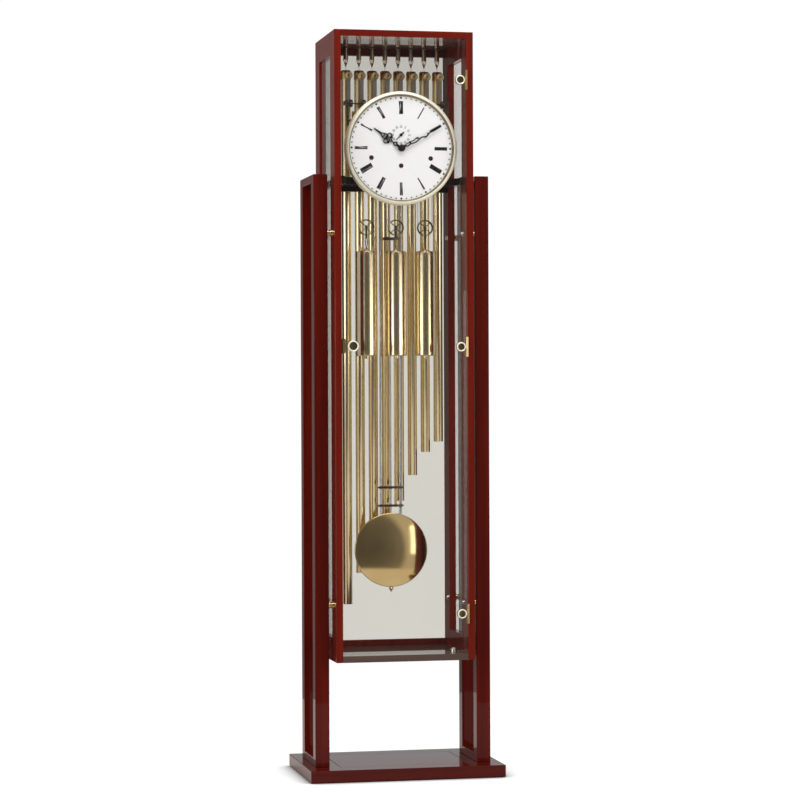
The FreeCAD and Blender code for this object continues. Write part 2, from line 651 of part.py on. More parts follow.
# Strokes of each letter as (weight, offset at the top, offset at the foot), then the letter's width
STROKES = {
    "I": ([("thick", 0.0, 0.0)], 3.1),
    "V": ([("thick", -1.5, 0.2), ("thin", 1.7, 0.2)], 5.0),
    "X": ([("thick", -1.5, 1.5), ("thin", 1.7, -1.7)], 5.2),
}
HOURS = ["XII", "I", "II", "III", "IIII", "V", "VI", "VII", "VIII", "IX", "X", "XI"]


def numeral(text):
    """A Roman numeral standing on its foot, its middle at X = 0, its foot at Z = 0."""
    tall = SIZE["numeral_outer"] - SIZE["numeral_inner"]
    total = sum(STROKES[letter][1] for letter in text)
    pen = -total / 2.0
    strokes = []
    for letter in text:
        lines, width = STROKES[letter]
        middle = pen + width / 2.0
        for weight, top, foot in lines:
            half = 1.45 if weight == "thick" else 0.65
            corners = [(middle + foot - half, 0), (middle + foot + half, 0),
                       (middle + top + half, tall), (middle + top - half, tall)]
            strokes.append(front_prism(corners, MARK_THICK))
            for serif_x, serif_z in ((foot, 0), (top, tall - 1.0)):
                reach = half + 0.6
                base = middle + serif_x
                strokes.append(front_prism([(base - reach, serif_z), (base + reach, serif_z),
                                            (base + reach, serif_z + 1.0), (base - reach, serif_z + 1.0)],
                                           MARK_THICK))
        pen += width
    return strokes[0].fuse(strokes[1:]).removeSplitter()


def dial_marks():
    solids = []
    centre = Vector(0, SIZE["dial_y"] - MARK_THICK, SIZE["dial_z"])
    for minute in range(60):
        angle = math.radians(6 * minute)
        reach = SIZE["minute_ring"]
        radius = 2.7 if minute % 5 == 0 else 1.9
        solids.append(front_disc(radius, MARK_THICK, reach * math.sin(angle), reach * math.cos(angle)))
    for hour, text in enumerate(HOURS):
        figure = numeral(text)
        figure.translate(Vector(0, 0, SIZE["numeral_inner"]))
        figure.rotate(Vector(), Vector(0, 1, 0), 30 * hour)
        solids.extend(figure.Solids)
    for mark in range(12):
        angle = math.radians(30 * mark)
        solids.append(front_disc(0.9, MARK_THICK, 27.5 * math.sin(angle),
                                 SIZE["seconds_rise"] + 27.5 * math.cos(angle)))
    marks = shaped("dial_marks_body", Part.makeCompound(solids))
    marks.Placement = Placement(centre, Rotation())
    node("dial_numerals", marks)


# Hands: pierced and scrolled, cut from flat sheet. Each is drawn pointing up.

def loop(x, z, radius, line, thick):
    return front_ring(radius, radius - line, thick, x, z)


def scroll(points, width, thick):
    """A drawn line of even width through the points, with round corners."""
    parts = []
    half = width / 2.0
    for (x0, z0), (x1, z1) in zip(points, points[1:]):
        reach = math.hypot(x1 - x0, z1 - z0)
        side_x = half * (z1 - z0) / reach
        side_z = -half * (x1 - x0) / reach
        parts.append(front_prism([(x0 + side_x, z0 + side_z), (x1 + side_x, z1 + side_z),
                                  (x1 - side_x, z1 - side_z), (x0 - side_x, z0 - side_z)], thick))
    for x, z in points[1:-1]:
        parts.append(front_disc(half, thick, x, z))
    return parts


def minute_hand_shape(thick):
    parts = [front_disc(9, thick), front_disc(3.6, thick, -0.8, 11.5)]
    parts += scroll([(-0.6, 12), (2.6, 15), (3.2, 20), (1.8, 27), (3.6, 34), (4.7, 43), (3.7, 52), (1.4, 58),
                     (0.8, 65), (3.2, 71), (5.2, 77), (3.8, 83), (1.2, 87), (0.4, 93), (0.6, 100)],
                    3.5, thick)
    parts += scroll([(-0.6, 12), (-3.0, 17), (-3.4, 23), (-2.8, 28), (-2.2, 36), (-2.4, 43), (-4.2, 49),
                     (-3.2, 53.5), (1.4, 57)], 2.8, thick)
    for x, z, radius in ((-2.6, 28.4, 3.4), (-3.0, 52.6, 3.2), (5.4, 73.2, 2.7)):
        parts.append(front_disc(radius, thick, x, z))
    parts.append(front_prism([(4.2, 75), (8.8, 72), (4.8, 80)], thick))
    parts.append(front_prism([(3.2, 81), (-3.6, 83.5), (1.6, 88)], thick))
    parts.append(front_prism([(0.8, 91), (-3.8, 92.5), (0.2, 97)], thick))
    parts.append(front_prism([(-3.0, 99), (3.4, 99), (3.1, 105), (2.0, 128), (-1.6, 128), (-2.7, 105)],
                             thick))
    parts.append(scroll([(-1.6, 28), (2.6, 28.5)], 2.8, thick)[0])
    whole = parts[0].fuse(parts[1:]).removeSplitter()
    return whole.cut(front_disc(3.0, thick + 2, 0, 0, -1))


def hour_hand_shape(thick):
    parts = [front_disc(9.6, thick), front_disc(3.6, thick, 0, 12)]
    parts.append(loop(0, 20.5, 6.2, 3.3, thick))
    parts.append(front_prism([(-2.1, 25), (2.1, 25), (1.8, 34.5), (-1.8, 34.5)], thick))
    parts.append(loop(0, 37.5, 4.7, 2.9, thick))
    parts += scroll([(0, 41), (0, 52)], 3.2, thick)
    parts.append(front_disc(3.2, thick, 0, 51.5))
    for side in (-1, 1):
        parts.append(loop(side * 9.6, 46.4, 7.2, 3.1, thick))
        parts.append(front_disc(3.7, thick, side * 8.6, 39.4))
        parts += scroll([(side * 3.2, 38.6), (side * 8, 39.2)], 2.6, thick)
        parts += scroll([(0, 48), (side * 6.2, 53), (side * 6.6, 58.5), (side * 4.6, 63), (side * 0.7, 70.5)],
                        3.1, thick)
    parts += scroll([(-5.6, 60.5), (0, 58.6), (5.6, 60.5)], 2.8, thick)
    parts.append(front_prism([(-2.9, 68.5), (2.9, 68.5), (1.6, 93), (-1.6, 93)], thick))
    whole = parts[0].fuse(parts[1:]).removeSplitter()
    return whole.cut(front_disc(4.4, thick + 2, 0, 0, -1))


def seconds_hand_shape(thick):
    parts = [front_disc(4.1, thick),
             front_prism([(-1.2, 0), (1.2, 0), (0.8, 20), (-0.8, 20)], thick),
             front_prism([(-2.1, 0), (2.1, 0), (1.8, -11), (-1.8, -11)], thick)]
    return parts[0].fuse(parts[1:]).removeSplitter()


def tube_y(outer, inner, start, end):
    solid = Part.makeCylinder(outer, end - start, Vector(0, start, 0), Vector(0, 1, 0))
    if inner:
        solid = solid.cut(Part.makeCylinder(inner, end - start + 2, Vector(0, start - 1, 0), Vector(0, 1, 0)))
    return solid


def put(name, shape, turn, x, y, z):
    piece = shaped(name + "_body", shape)
    piece.Placement = Placement(Vector(x, y, z), Rotation(Vector(0, 1, 0), turn))
    return node(name, piece)


def hands():
    dial_y = SIZE["dial_y"]
    dial_z = SIZE["dial_z"]
    hour = hour_hand_shape(1.0)
    hour = hour.fuse(tube_y(4.9, 3.56, 0, 22)).removeSplitter()
    hour_wheel = gear(26, 48, 2, 4.0, 5)
    hour_wheel.translate(Vector(0, 16, 0))
    hour = hour.fuse(hour_wheel).removeSplitter()
    put("hour_hand", hour, CLOCK_HOUR, 0, dial_y - 4.5, dial_z)
    minute = minute_hand_shape(1.0)
    minute = minute.fuse(tube_y(3.5, 2.45, 0, 27)).removeSplitter()
    nut = tube_y(9.8, 0, -3.2, -0.1)
    crown = Part.makeSphere(10.7, Vector(0, 1.8, 0))
    crown = crown.common(Part.makeBox(24, 6, 24, Vector(-12, -9.2, -12)))
    put("minute_hand", minute, CLOCK_MINUTE, 0, dial_y - 7.5, dial_z)
    arbor = nut.fuse([crown, tube_y(2.45, 0, -0.1, 34), tube_y(3.0, 0, 34, 122)]).removeSplitter()
    wheel = gear(26, 60, 2.5, 2.5, 5)
    wheel.translate(Vector(0, 78, 0))
    pinion = gear(7, 10, 10, 2.5, 0)
    pinion.translate(Vector(0, 46, 0))
    arbor = arbor.fuse([wheel, pinion]).removeSplitter()
    put("centre_arbor", arbor, CLOCK_MINUTE, 0, dial_y - 7.5, dial_z)
    seconds = seconds_hand_shape(0.7).fuse(tube_y(1.5, 0, 0, 117)).removeSplitter()
    seconds_z = dial_z + SIZE["seconds_rise"]
    put("seconds_hand", seconds, CLOCK_SECOND, 0, dial_y - 2.6, seconds_z)
    escape = gear(19, 30, 2, 1.5, 5)
    put("escape_wheel", escape, 0, 0, SIZE["plate_front"] + SIZE["plate_gap"] - 8, seconds_z)


# Pallets and crutch behind the back plate

def pallets():
    pivot_z = SIZE["dial_z"] + SIZE["pallet_rise"]
    plane_y = SIZE["plate_front"] + SIZE["plate_gap"] - 8
    back = SIZE["plate_front"] + 2 * SIZE["plate_thick"] + SIZE["plate_gap"]
    arbor = Part.makeCylinder(2.0, back + 14 - SIZE["plate_front"], Vector(0, SIZE["plate_front"], 0),
                              Vector(0, 1, 0))
    arms = front_prism([(-19, -15), (-17, -17), (-3, -4), (3, -4), (17, -17), (19, -15), (4, 4), (-4, 4)], 2)
    arms.translate(Vector(0, plane_y, 0))
    crutch = Part.makeBox(5, 2, 96, Vector(-2.5, back + 10, -96))
    finger = Part.makeBox(3, SIZE["pendulum_y"] + 6 - back - 10, 3, Vector(-8.5, back + 10, -96))
    finger_two = Part.makeBox(3, SIZE["pendulum_y"] + 6 - back - 10, 3, Vector(5.5, back + 10, -96))
    bridge = Part.makeBox(17, 2, 5, Vector(-8.5, back + 10, -97))
    whole = arbor.fuse([arms, crutch, finger, finger_two, bridge]).removeSplitter()
    put("pallets_and_crutch", whole, 0, 0, 0, pivot_z)


# Suspension cock and pendulum: gridiron of steel and brass rods, convex bob, rating nut

def pendulum():
    back = "plate_front + 2 * plate_thick + plate_gap"
    pivot = "dial_z + pallet_rise"
    arms = []
    for side, sign in SIDES.items():
        x = "-14" if sign < 0 else "10"
        arms.append(block("cock_arm_" + side, 4, "pendulum_y + 6 - (%s)" % back, 12, x, back, pivot + " - 4"))
    bridge = block("cock_bridge", 28, 12, 8, -14, "pendulum_y - 6", pivot)
    foot = block("cock_foot", 60, 3, 18, -30, back, pivot + " - 7")
    opening = block("cock_foot_gap", 20, 10, 30, -10, back + " - 2", pivot + " - 14")
    node("suspension_cock", join("cock_body", bridge, cut("cock_foot_cut", foot, opening), *arms))
    spring = block("spring_strip", 10, 0.4, 28, -5, "pendulum_y - 0.2", pivot + " - 28.3")
    chap = block("spring_chap", 14, 6, 8, -7, "pendulum_y - 3", pivot + " - 36")
    leader = rod("leader_rod", 4, pivot + " - 36 - bar_top", 0, "pendulum_y", "bar_top")
    parts = [spring, chap, leader]
    for name, z in (("top", "bar_top - 6"), ("mid", "bar_mid - 2.5"), ("low", "bar_low - 2.5")):
        thick = 6 if name == "top" else 5
        parts.append(block("grid_bar_" + name, "2 * rod_spread + 18", 12, thick, "-rod_spread - 9",
                           "pendulum_y - 6", z))
    parts.append(block("grid_bridge", "rod_spread + 12", 12, 8, "-rod_spread / 2 - 6", "pendulum_y - 6",
                       "bar_short - 8"))
    bob_crown = "sqrt(bob_radius ^ 2 - rod_spread ^ 2)"
    for side, sign in SIDES.items():
        x = "%d * rod_spread" % sign
        parts.append(rod("steel_rod_" + side, "rod_radius", "bar_top - bob_z - %s - 5" % bob_crown,
                         x, "pendulum_y", "bob_z + %s + 1" % bob_crown))
        parts.append(rod("brass_rod_" + side, "rod_radius", "bar_short - bar_low",
                         "%d * rod_spread / 2" % sign, "pendulum_y", "bar_low"))
    parts.append(rod("centre_rod", 2.5, "bar_short - bob_z + bob_radius + 14", 0, "pendulum_y",
                     "bob_z - bob_radius - 14"))
    node("pendulum_rods", join("gridiron_body", *parts))
    curve = "(bob_radius ^ 2 + (bob_half - bob_rim) ^ 2) / (2 * (bob_half - bob_rim))"
    drum = rod("bob_blank", "bob_radius", "2 * bob_half", 0, "pendulum_y - bob_half", "bob_z", "Y")
    front = ball("bob_front_curve", curve, 0, "pendulum_y - bob_half + %s" % curve, "bob_z")
    rear = ball("bob_rear_curve", curve, 0, "pendulum_y + bob_half - %s" % curve, "bob_z")
    lens = common("bob_lens", drum, front, rear)
    bore = rod("bob_bore", 2.5, "2 * bob_radius + 20", 0, "pendulum_y", "bob_z - bob_radius - 10")
    node("pendulum_bob", cut("bob_body", lens, bore))
    nut = turned("nut_blank", [(0, 0), (4, 0), (6.5, 2.5), (6.5, 6.5), (4, 9), (0, 9)],
                 0, "pendulum_y", "bob_z - bob_radius - 9")
    nut_bore = rod("nut_bore", 2.5, 20, 0, "pendulum_y", "bob_z - bob_radius - 15")
    node("rating_nut", cut("nut_body", nut, nut_bore))


# Drums with their arbors and great wheels

def drums():
    start = SIZE["cable_y"] - 26
    for name, sign in WEIGHT_PLACES.items():
        drop = SIZE["wind_mid_drop"] if name == "centre" else SIZE["wind_drop"]
        front = SIZE["plate_front"]
        square_end = SIZE["dial_y"] + 1
        arbor = Part.makeCylinder(5, SIZE["plate_gap"] + 2 * SIZE["plate_thick"], Vector(0, front, 0),
                                  Vector(0, 1, 0))
        square = Part.makeBox(5, front - square_end, 5, Vector(-2.5, square_end, -2.5))
        radius = SIZE["drum_radius"] - 1
        core = Part.makeCylinder(radius, 52, Vector(0, start, 0), Vector(0, 1, 0))
        flange_a = Part.makeCylinder(radius + 5, 2, Vector(0, start - 2, 0), Vector(0, 1, 0))
        flange_b = Part.makeCylinder(radius + 5, 2, Vector(0, start + 52, 0), Vector(0, 1, 0))
        wheel = gear(30, 72, 3, 4.5, 5)
        wheel.translate(Vector(0, start - 8, 0))
        ratchet = gear(20, 24, 3, 4.5, 0)
        ratchet.translate(Vector(0, start - 5, 0))
        whole = arbor.fuse([square, core, flange_a, flange_b, wheel, ratchet]).removeSplitter()
        put(name + "_drum", whole, 0, sign * SIZE["wind_x"], 0, SIZE["dial_z"] - drop)


# Cable, pulley and weight, three times

def weights():
    for name, sign in WEIGHT_PLACES.items():
        x = "%d * wind_x" % sign
        drum_z = WIND_HEIGHT[name]
        run = rod("drum_run_" + name, "cable_radius", "(%s) - pulley_z" % drum_z, x + " + drum_radius",
                  "cable_y", "pulley_z")
        bend = ring("cable_bend_" + name, "drum_radius", "cable_radius", x, "cable_y", "pulley_z", "Y", 180)
        back_run = rod("anchor_run_" + name, "cable_radius", "seat_top - pulley_z", x + " - drum_radius",
                       "cable_y", "pulley_z")
        node(name + "_cable", join(name + "_cable_body", run, bend, back_run))
        wheel = rod("pulley_blank_" + name, "pulley_radius", 7, x, "cable_y - 3.5", "pulley_z", "Y")
        groove = ring("pulley_groove_" + name, "pulley_radius - 0.5", 2.9, x, "cable_y", "pulley_z", "Y")
        bore = rod("pulley_bore_" + name, 2.06, 20, x, "cable_y - 10", "pulley_z", "Y")
        window = rod("pulley_window_" + name, "pulley_radius - 5", 20, x, "cable_y - 10", "pulley_z", "Y")
        hub = rod("pulley_hub_" + name, 5, 20, x, "cable_y - 10", "pulley_z", "Y")
        arms = []
        for number in range(2):
            arm = block("pulley_arm_%s_%d" % (name, number), 44, 20, 3, 0, 0, 0)
            turn = Rotation(Vector(0, 1, 0), 45 + 90 * number)
            arm.Placement = Placement(Vector(), turn)
            start = turn.multVec(Vector(-22, 0, -1.5))
            locate(arm, x + " + %.4f" % start.x, "cable_y - 10", "pulley_z + %.4f" % start.z, turn)
            arms.append(arm)
        cutters = [groove, bore, cut("pulley_windows_" + name, window, hub, *arms)]
        node(name + "_pulley", cut(name + "_pulley_body", wheel, *cutters))
        straps = []
        for end, toward in (("front", -1), ("back", 1)):
            y = "cable_y + %s" % ("5" if toward > 0 else "-6.5")
            straps.append(block("strap_%s_%s" % (name, end), 9, 1.5, 38, x + " - 4.5", y, "pulley_z - 32"))
        pin = rod("pulley_pin_" + name, 2, 15, x, "cable_y - 7.5", "pulley_z", "Y")
        yoke = block("yoke_" + name, 9, 13, 3, x + " - 4.5", "cable_y - 6.5", "pulley_z - 34")
        stem = rod("hook_stem_" + name, 2, 16, x, "cable_y", "pulley_z - 48")
        eye = ring("hook_eye_" + name, 5, 1.5, x, "cable_y", "pulley_z - 52", "Y")
        stirrup = join(name + "_stirrup_body", pin, yoke, stem, eye, *straps)
        outline = [(0, -8), (5, -8), (7, -6), (7, -1), (9, -1), (9, 0), ("weight_radius - 2", 0),
                   ("weight_radius", 2), ("weight_radius", "weight_length - 4"),
                   ("weight_radius - 2.5", "weight_length - 1.5"), ("weight_radius - 6", "weight_length"),
                   (7, "weight_length + 1"), (5, "weight_length + 5"), (3, "weight_length + 7"),
                   (3, "weight_length + 10"), (0, "weight_length + 10")]
        shell = turned(name + "_weight_shell", outline, x, "cable_y", "weight_base")
        node(name + "_weight", join(name + "_weight_body", shell, stirrup))


# Bells on their hanging posts

def bell_x(number):
    return "tube_first_x + %d * tube_pitch" % number


def bells():
    tubes = []
    hangers = []
    for number, length in enumerate(BELL_LENGTHS):
        x = bell_x(number)
        bottom = "tube_top - %d" % length
        wall = rod("bell_wall_%d" % number, "tube_radius", length - 3, x, "tube_y", bottom)
        cap = turned("bell_cap_%d" % number, [(0, 0), ("tube_cap", 0), ("tube_cap", 22), ("tube_cap - 3", 25),
                                              (0, 25)],
                     x, "tube_y", "tube_top - 25")
        hollow = rod("bell_hollow_%d" % number, "tube_radius - tube_wall", length - 10, x, "tube_y",
                     bottom + " - 5")
        tubes.append(cut("bell_%d" % number, join("bell_solid_%d" % number, wall, cap), hollow))
        ceiling = "case_top - board_thick"
        post = turned("hanger_post_%d" % number,
                      [(0, 0), (1.2, 0), (1.2, 14), ("hanger_radius", 34), ("hanger_radius", 60),
                       ("hanger_radius + 1.5", 60), ("hanger_radius + 1.5", 65), (3, 65), (3, 74), (0, 74)],
                      x, "tube_y", ceiling + " - 65")
        hangers.append(post)
    node("bell_tubes", group("bell_set", *tubes))
    node("bell_hangers", group("hanger_set", *hangers))


# Hammers on one pivot rod, and the chime barrel that lifts them

def hammers():
    left = SIZE["tube_first_x"] - 12
    right = SIZE["tube_first_x"] + (BELLS - 1) * SIZE["tube_pitch"] + 16
    frame_left = "%.1f" % left
    width = "%.1f" % (right - left)
    back = "plate_front + 2 * plate_thick + plate_gap"
    plate_top = "seat_top + plate_height"
    rail_z = "hammer_pivot_z - 56"
    rail = block("frame_rail", width, 4, 6, frame_left, back, rail_z)
    mount = block("frame_mount", 150, 4, 46, -75, back, plate_top + " - 30")
    pivot = rod("pivot_rod", 2, width, frame_left, "hammer_y", "hammer_pivot_z", "X")
    parts = [rail, mount, pivot]
    barrel_bores = []
    for name, x in (("left", "%.1f" % left), ("right", "%.1f" % (right - 3))):
        parts.append(block("frame_arm_" + name, 3, "hammer_y + 5 - (%s)" % back, 12, x, back,
                           "hammer_pivot_z - 7"))
        parts.append(block("frame_upright_" + name, 3, 8, 61, x, back, rail_z))
        barrel_bores.append(rod("barrel_bore_" + name, 2.06, 10, "%s - 3" % x, "barrel_y", "barrel_z", "X"))
    top_x, top_height = PILLARS[-1]
    top_pillar = rod("frame_pillar_hole", 3.1, 30, top_x, back + " - 10", "seat_top + %d" % top_height, "Y")
    solid = join("hammer_frame_solid", *parts)
    node("hammer_frame", cut("hammer_frame_body", solid, top_pillar, *barrel_bores))
    for number in range(BELLS):
        tag = str(number + 1)
        x = bell_x(number) + " + hammer_shift"
        head_y = "tube_y - tube_cap - 2 - hammer_length"
        head = turned("head_blank_" + tag, [(0, 0), ("hammer_radius - 1.5", 0), ("hammer_radius", 1.5),
                                            ("hammer_radius", "hammer_length - 5"),
                                            (7, "hammer_length - 4"), (6, "hammer_length"),
                                            (0, "hammer_length")],
                      x, head_y, "hammer_z", "Y")
        shank = block("shank_" + tag, 10, 2, "hammer_z - hammer_pivot_z + 2", x + " - 5", "hammer_y - 1",
                      "hammer_pivot_z - 2")
        hub = rod("hub_" + tag, 5, 12, x + " - 6", "hammer_y", "hammer_pivot_z", "X")
        tail = block("tail_" + tag, 4, 12, 2, x + " - 2", "hammer_y - 14.5", "hammer_pivot_z - 1")
        solid = join("hammer_solid_" + tag, head, shank, hub, tail)
        bore = rod("hammer_bore_" + tag, 2.06, 30, x + " - 10", "hammer_y", "hammer_pivot_z", "X")
        node("hammer_" + tag, cut("hammer_body_" + tag, solid, bore))
    disc_width = 9
    arbor = Part.makeCylinder(2, right - left, Vector(0, 0, 0), Vector(1, 0, 0))
    discs = []
    pins = []
    for number in range(BELLS):
        row = SIZE["tube_first_x"] + SIZE["hammer_shift"] + number * SIZE["tube_pitch"] - left
        discs.append(Part.makeCylinder(SIZE["barrel_radius"], disc_width, Vector(row - disc_width / 2.0, 0, 0),
                                       Vector(1, 0, 0)))
        for step in range(4):
            angle = math.radians(90 * step + 31 * number)
            way = Vector(0, math.cos(angle), math.sin(angle))
            pins.append(Part.makeCylinder(0.8, SIZE["barrel_radius"] + 1.8, Vector(row, 0, 0), way))
    barrel = shaped("chime_barrel_body", arbor.fuse(discs + pins).removeSplitter())
    barrel.Placement = Placement(Vector(left, SIZE["barrel_y"], SIZE["barrel_z"]), Rotation())
    node("chime_barrel", barrel)


def check_and_write():
    doc.recompute()
    for thing in doc.Objects:
        bad = [word for word in thing.State if word in ("Invalid", "Error")]
        if bad:
            raise RuntimeError("%s failed: %s" % (thing.Name, thing.State))
    names = [piece.Label for piece in nodes]
    if len(set(names)) != len(names):
        raise RuntimeError("two nodes share a name")
    os.makedirs("parts", exist_ok=True)
    for piece in nodes:
        shape = piece.Shape
        if shape.isNull() or not shape.isValid():
            raise RuntimeError("%s has no valid shape" % piece.Label)
    for piece in nodes:
        piece.Shape.exportStep("parts/%s.step" % piece.Label)
    print("%d nodes written" % len(nodes))


base()
stand()
spacers()
case()
door()
spirit_level()
seat()
movement()
dial()
dial_marks()
hands()
pallets()
pendulum()
drums()
weights()
bells()
hammers()
check_and_write()
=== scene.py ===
import bmesh
import bpy
import math
from mathutils import Euler, Matrix, Vector


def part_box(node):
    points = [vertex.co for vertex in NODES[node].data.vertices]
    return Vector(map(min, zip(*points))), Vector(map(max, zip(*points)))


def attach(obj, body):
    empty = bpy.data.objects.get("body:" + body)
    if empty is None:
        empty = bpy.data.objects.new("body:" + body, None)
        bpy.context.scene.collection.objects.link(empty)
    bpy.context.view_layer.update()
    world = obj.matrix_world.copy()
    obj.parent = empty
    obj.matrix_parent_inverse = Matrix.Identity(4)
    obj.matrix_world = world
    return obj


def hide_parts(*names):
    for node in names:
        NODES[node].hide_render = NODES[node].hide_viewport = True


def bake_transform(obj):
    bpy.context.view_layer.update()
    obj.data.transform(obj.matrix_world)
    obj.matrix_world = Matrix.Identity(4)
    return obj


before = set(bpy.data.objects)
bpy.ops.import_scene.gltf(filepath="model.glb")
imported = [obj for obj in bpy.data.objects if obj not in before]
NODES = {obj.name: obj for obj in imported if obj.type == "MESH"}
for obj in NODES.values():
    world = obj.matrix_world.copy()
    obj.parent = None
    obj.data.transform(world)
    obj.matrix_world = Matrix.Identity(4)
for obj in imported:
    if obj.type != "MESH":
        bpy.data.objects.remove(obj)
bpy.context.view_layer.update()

# Sizes in metres, the same driving dimensions as the CAD source
MM = 0.001
DIAL_Y = -105 * MM
DIAL_Z = 1723 * MM
PENDULUM_Y = 55 * MM
ROD_RADIUS = 4 * MM
ROD_SPREAD = 27.7 * MM
BAR_TOP = 1600 * MM
BAR_SHORT = 1484 * MM
BAR_MIDDLE = 788 * MM
BAR_LOW = 737 * MM
CABLE_Y = -28 * MM
PULLEY_Z = 1510 * MM
DRUM_RADIUS = 20 * MM
WEIGHT_LENGTH = 290
TUBE_Y = 90 * MM
TUBE_TOP = 1957 * MM
TUBE_RADIUS = 13 * MM
TUBE_WALL = 1.3 * MM
TUBE_FIRST_X = -116.9 * MM
TUBE_PITCH = 37.4 * MM
BELL_LENGTHS = [1496, 1409, 1333, 1290, 1208, 1136, 1071, 1042]
HAMMER_SHIFT = 3 * MM
HAMMER_Y = 62 * MM
HAMMER_Z = 1940 * MM
HAMMER_PIVOT_Z = 1862 * MM
HAMMER_LENGTH = 16 * MM
ROOT = "case_and_stand"
SIDES = ("left", "centre", "right")


# Materials

class Nodes:
    """A new material and short calls that add nodes to it."""

    def __init__(self, name):
        self.material = bpy.data.materials.new(name)
        self.material.use_nodes = True
        self.tree = self.material.node_tree
        self.tree.nodes.clear()
        self.output = self.tree.nodes.new("ShaderNodeOutputMaterial")

    def add(self, kind, **inputs):
        node = self.tree.nodes.new(kind)
        for key, value in inputs.items():
            node.inputs[key.replace("_", " ")].default_value = value
        return node

    def link(self, source, target):
        self.tree.links.new(source, target)

    def surface(self, **inputs):
        shader = self.add("ShaderNodeBsdfPrincipled", **inputs)
        self.link(shader.outputs[0], self.output.inputs["Surface"])
        return shader

    def place(self, scale):
        """Object coordinates stretched by scale."""
        where = self.add("ShaderNodeTexCoord")
        mapping = self.add("ShaderNodeMapping")
        mapping.inputs["Scale"].default_value = scale
        self.link(where.outputs["Object"], mapping.inputs["Vector"])
        return mapping.outputs["Vector"]

    def noise(self, vector, scale, detail=4.0, roughness=0.55):
        texture = self.add("ShaderNodeTexNoise", Scale=scale, Detail=detail, Roughness=roughness)
        self.link(vector, texture.inputs["Vector"])
        return texture.outputs["Fac"]

    def ramp(self, factor, stops):
        ramp = self.tree.nodes.new("ShaderNodeValToRGB")
        while len(ramp.color_ramp.elements) < len(stops):
            ramp.color_ramp.elements.new(0.5)
        for element, (position, colour) in zip(ramp.color_ramp.elements, stops):
            element.position = position
            element.color = (*colour, 1.0)
        self.link(factor, ramp.inputs["Fac"])
        return ramp.outputs["Color"]

    def span(self, factor, low, high):
        """A factor spread between two values."""
        node = self.tree.nodes.new("ShaderNodeMapRange")
        node.inputs["To Min"].default_value = low
        node.inputs["To Max"].default_value = high
        self.link(factor, node.inputs["Value"])
        return node.outputs["Result"]

    def bump(self, height, distance, shader, strength=0.5):
        node = self.add("ShaderNodeBump", Distance=distance, Strength=strength)
        self.link(height, node.inputs["Height"])
        self.link(node.outputs["Normal"], shader.inputs["Normal"])


def lacquer(name, along, deep, light):
    """Mahogany under clear piano lacquer: dark stained grain along one axis, seen through a hard coat."""
    m = Nodes(name)
    grain_scale = {"X": (1.2, 34, 34), "Y": (34, 1.2, 34), "Z": (34, 34, 1.2)}[along]
    vector = m.place(grain_scale)
    grain = m.noise(vector, 1.4, 6.0, 0.62)
    middle_tone = tuple((a + b) / 2 for a, b in zip(deep, light))
    colour = m.ramp(grain, [(0.30, deep), (0.52, middle_tone), (0.72, light)])
    shader = m.surface(Roughness=0.35, IOR=1.12, Coat_Weight=1.0, Coat_Roughness=0.02, Coat_IOR=1.25)
    m.link(colour, shader.inputs["Base Color"])
    orange_peel = m.noise(m.place((1, 1, 1)), 26.0, 2.0, 0.4)
    m.bump(orange_peel, 0.00015, shader, 0.2)
    return m.material


def metal(name, colour, dark, roughness, brushed=None, wear=0.05, metallic=1.0):
    """Polished or brushed metal with slight tarnish in patches."""
    m = Nodes(name)
    patches = m.noise(m.place((1, 1, 1)), 9.0, 5.0)
    tone = m.ramp(patches, [(0.35, dark), (0.60, colour)])
    shader = m.surface(Metallic=metallic)
    m.link(tone, shader.inputs["Base Color"])
    streak_scale = {"Z": (260, 260, 3), "X": (3, 260, 260), "Y": (260, 3, 260), None: (60, 60, 60)}[brushed]
    streaks = m.noise(m.place(streak_scale), 1.0, 3.0)
    gloss = m.span(streaks, roughness * (1 - wear * 4), roughness * (1 + wear * 4))
    m.link(gloss, shader.inputs["Roughness"])
    if brushed:
        m.bump(streaks, 0.00002, shader, 0.15)
    return m.material


def paint(name, colour, roughness, coat=0.0, speckle=0.02, gloss=0.5):
    """Painted metal, enamel, rubber or plastic with a barely uneven surface."""
    m = Nodes(name)
    field = m.noise(m.place((1, 1, 1)), 40.0, 4.0)
    low = tuple(c * (1 - speckle) for c in colour)
    high = tuple(min(1.0, c * (1 + speckle)) for c in colour)
    tone = m.ramp(field, [(0.3, low), (0.7, high)])
    shader = m.surface(Coat_Weight=coat, Coat_Roughness=0.05, Specular_IOR_Level=gloss)
    m.link(tone, shader.inputs["Base Color"])
    m.link(m.span(field, roughness * 0.85, roughness * 1.15), shader.inputs["Roughness"])
    m.bump(field, 0.00005, shader, 0.2)
    return m.material


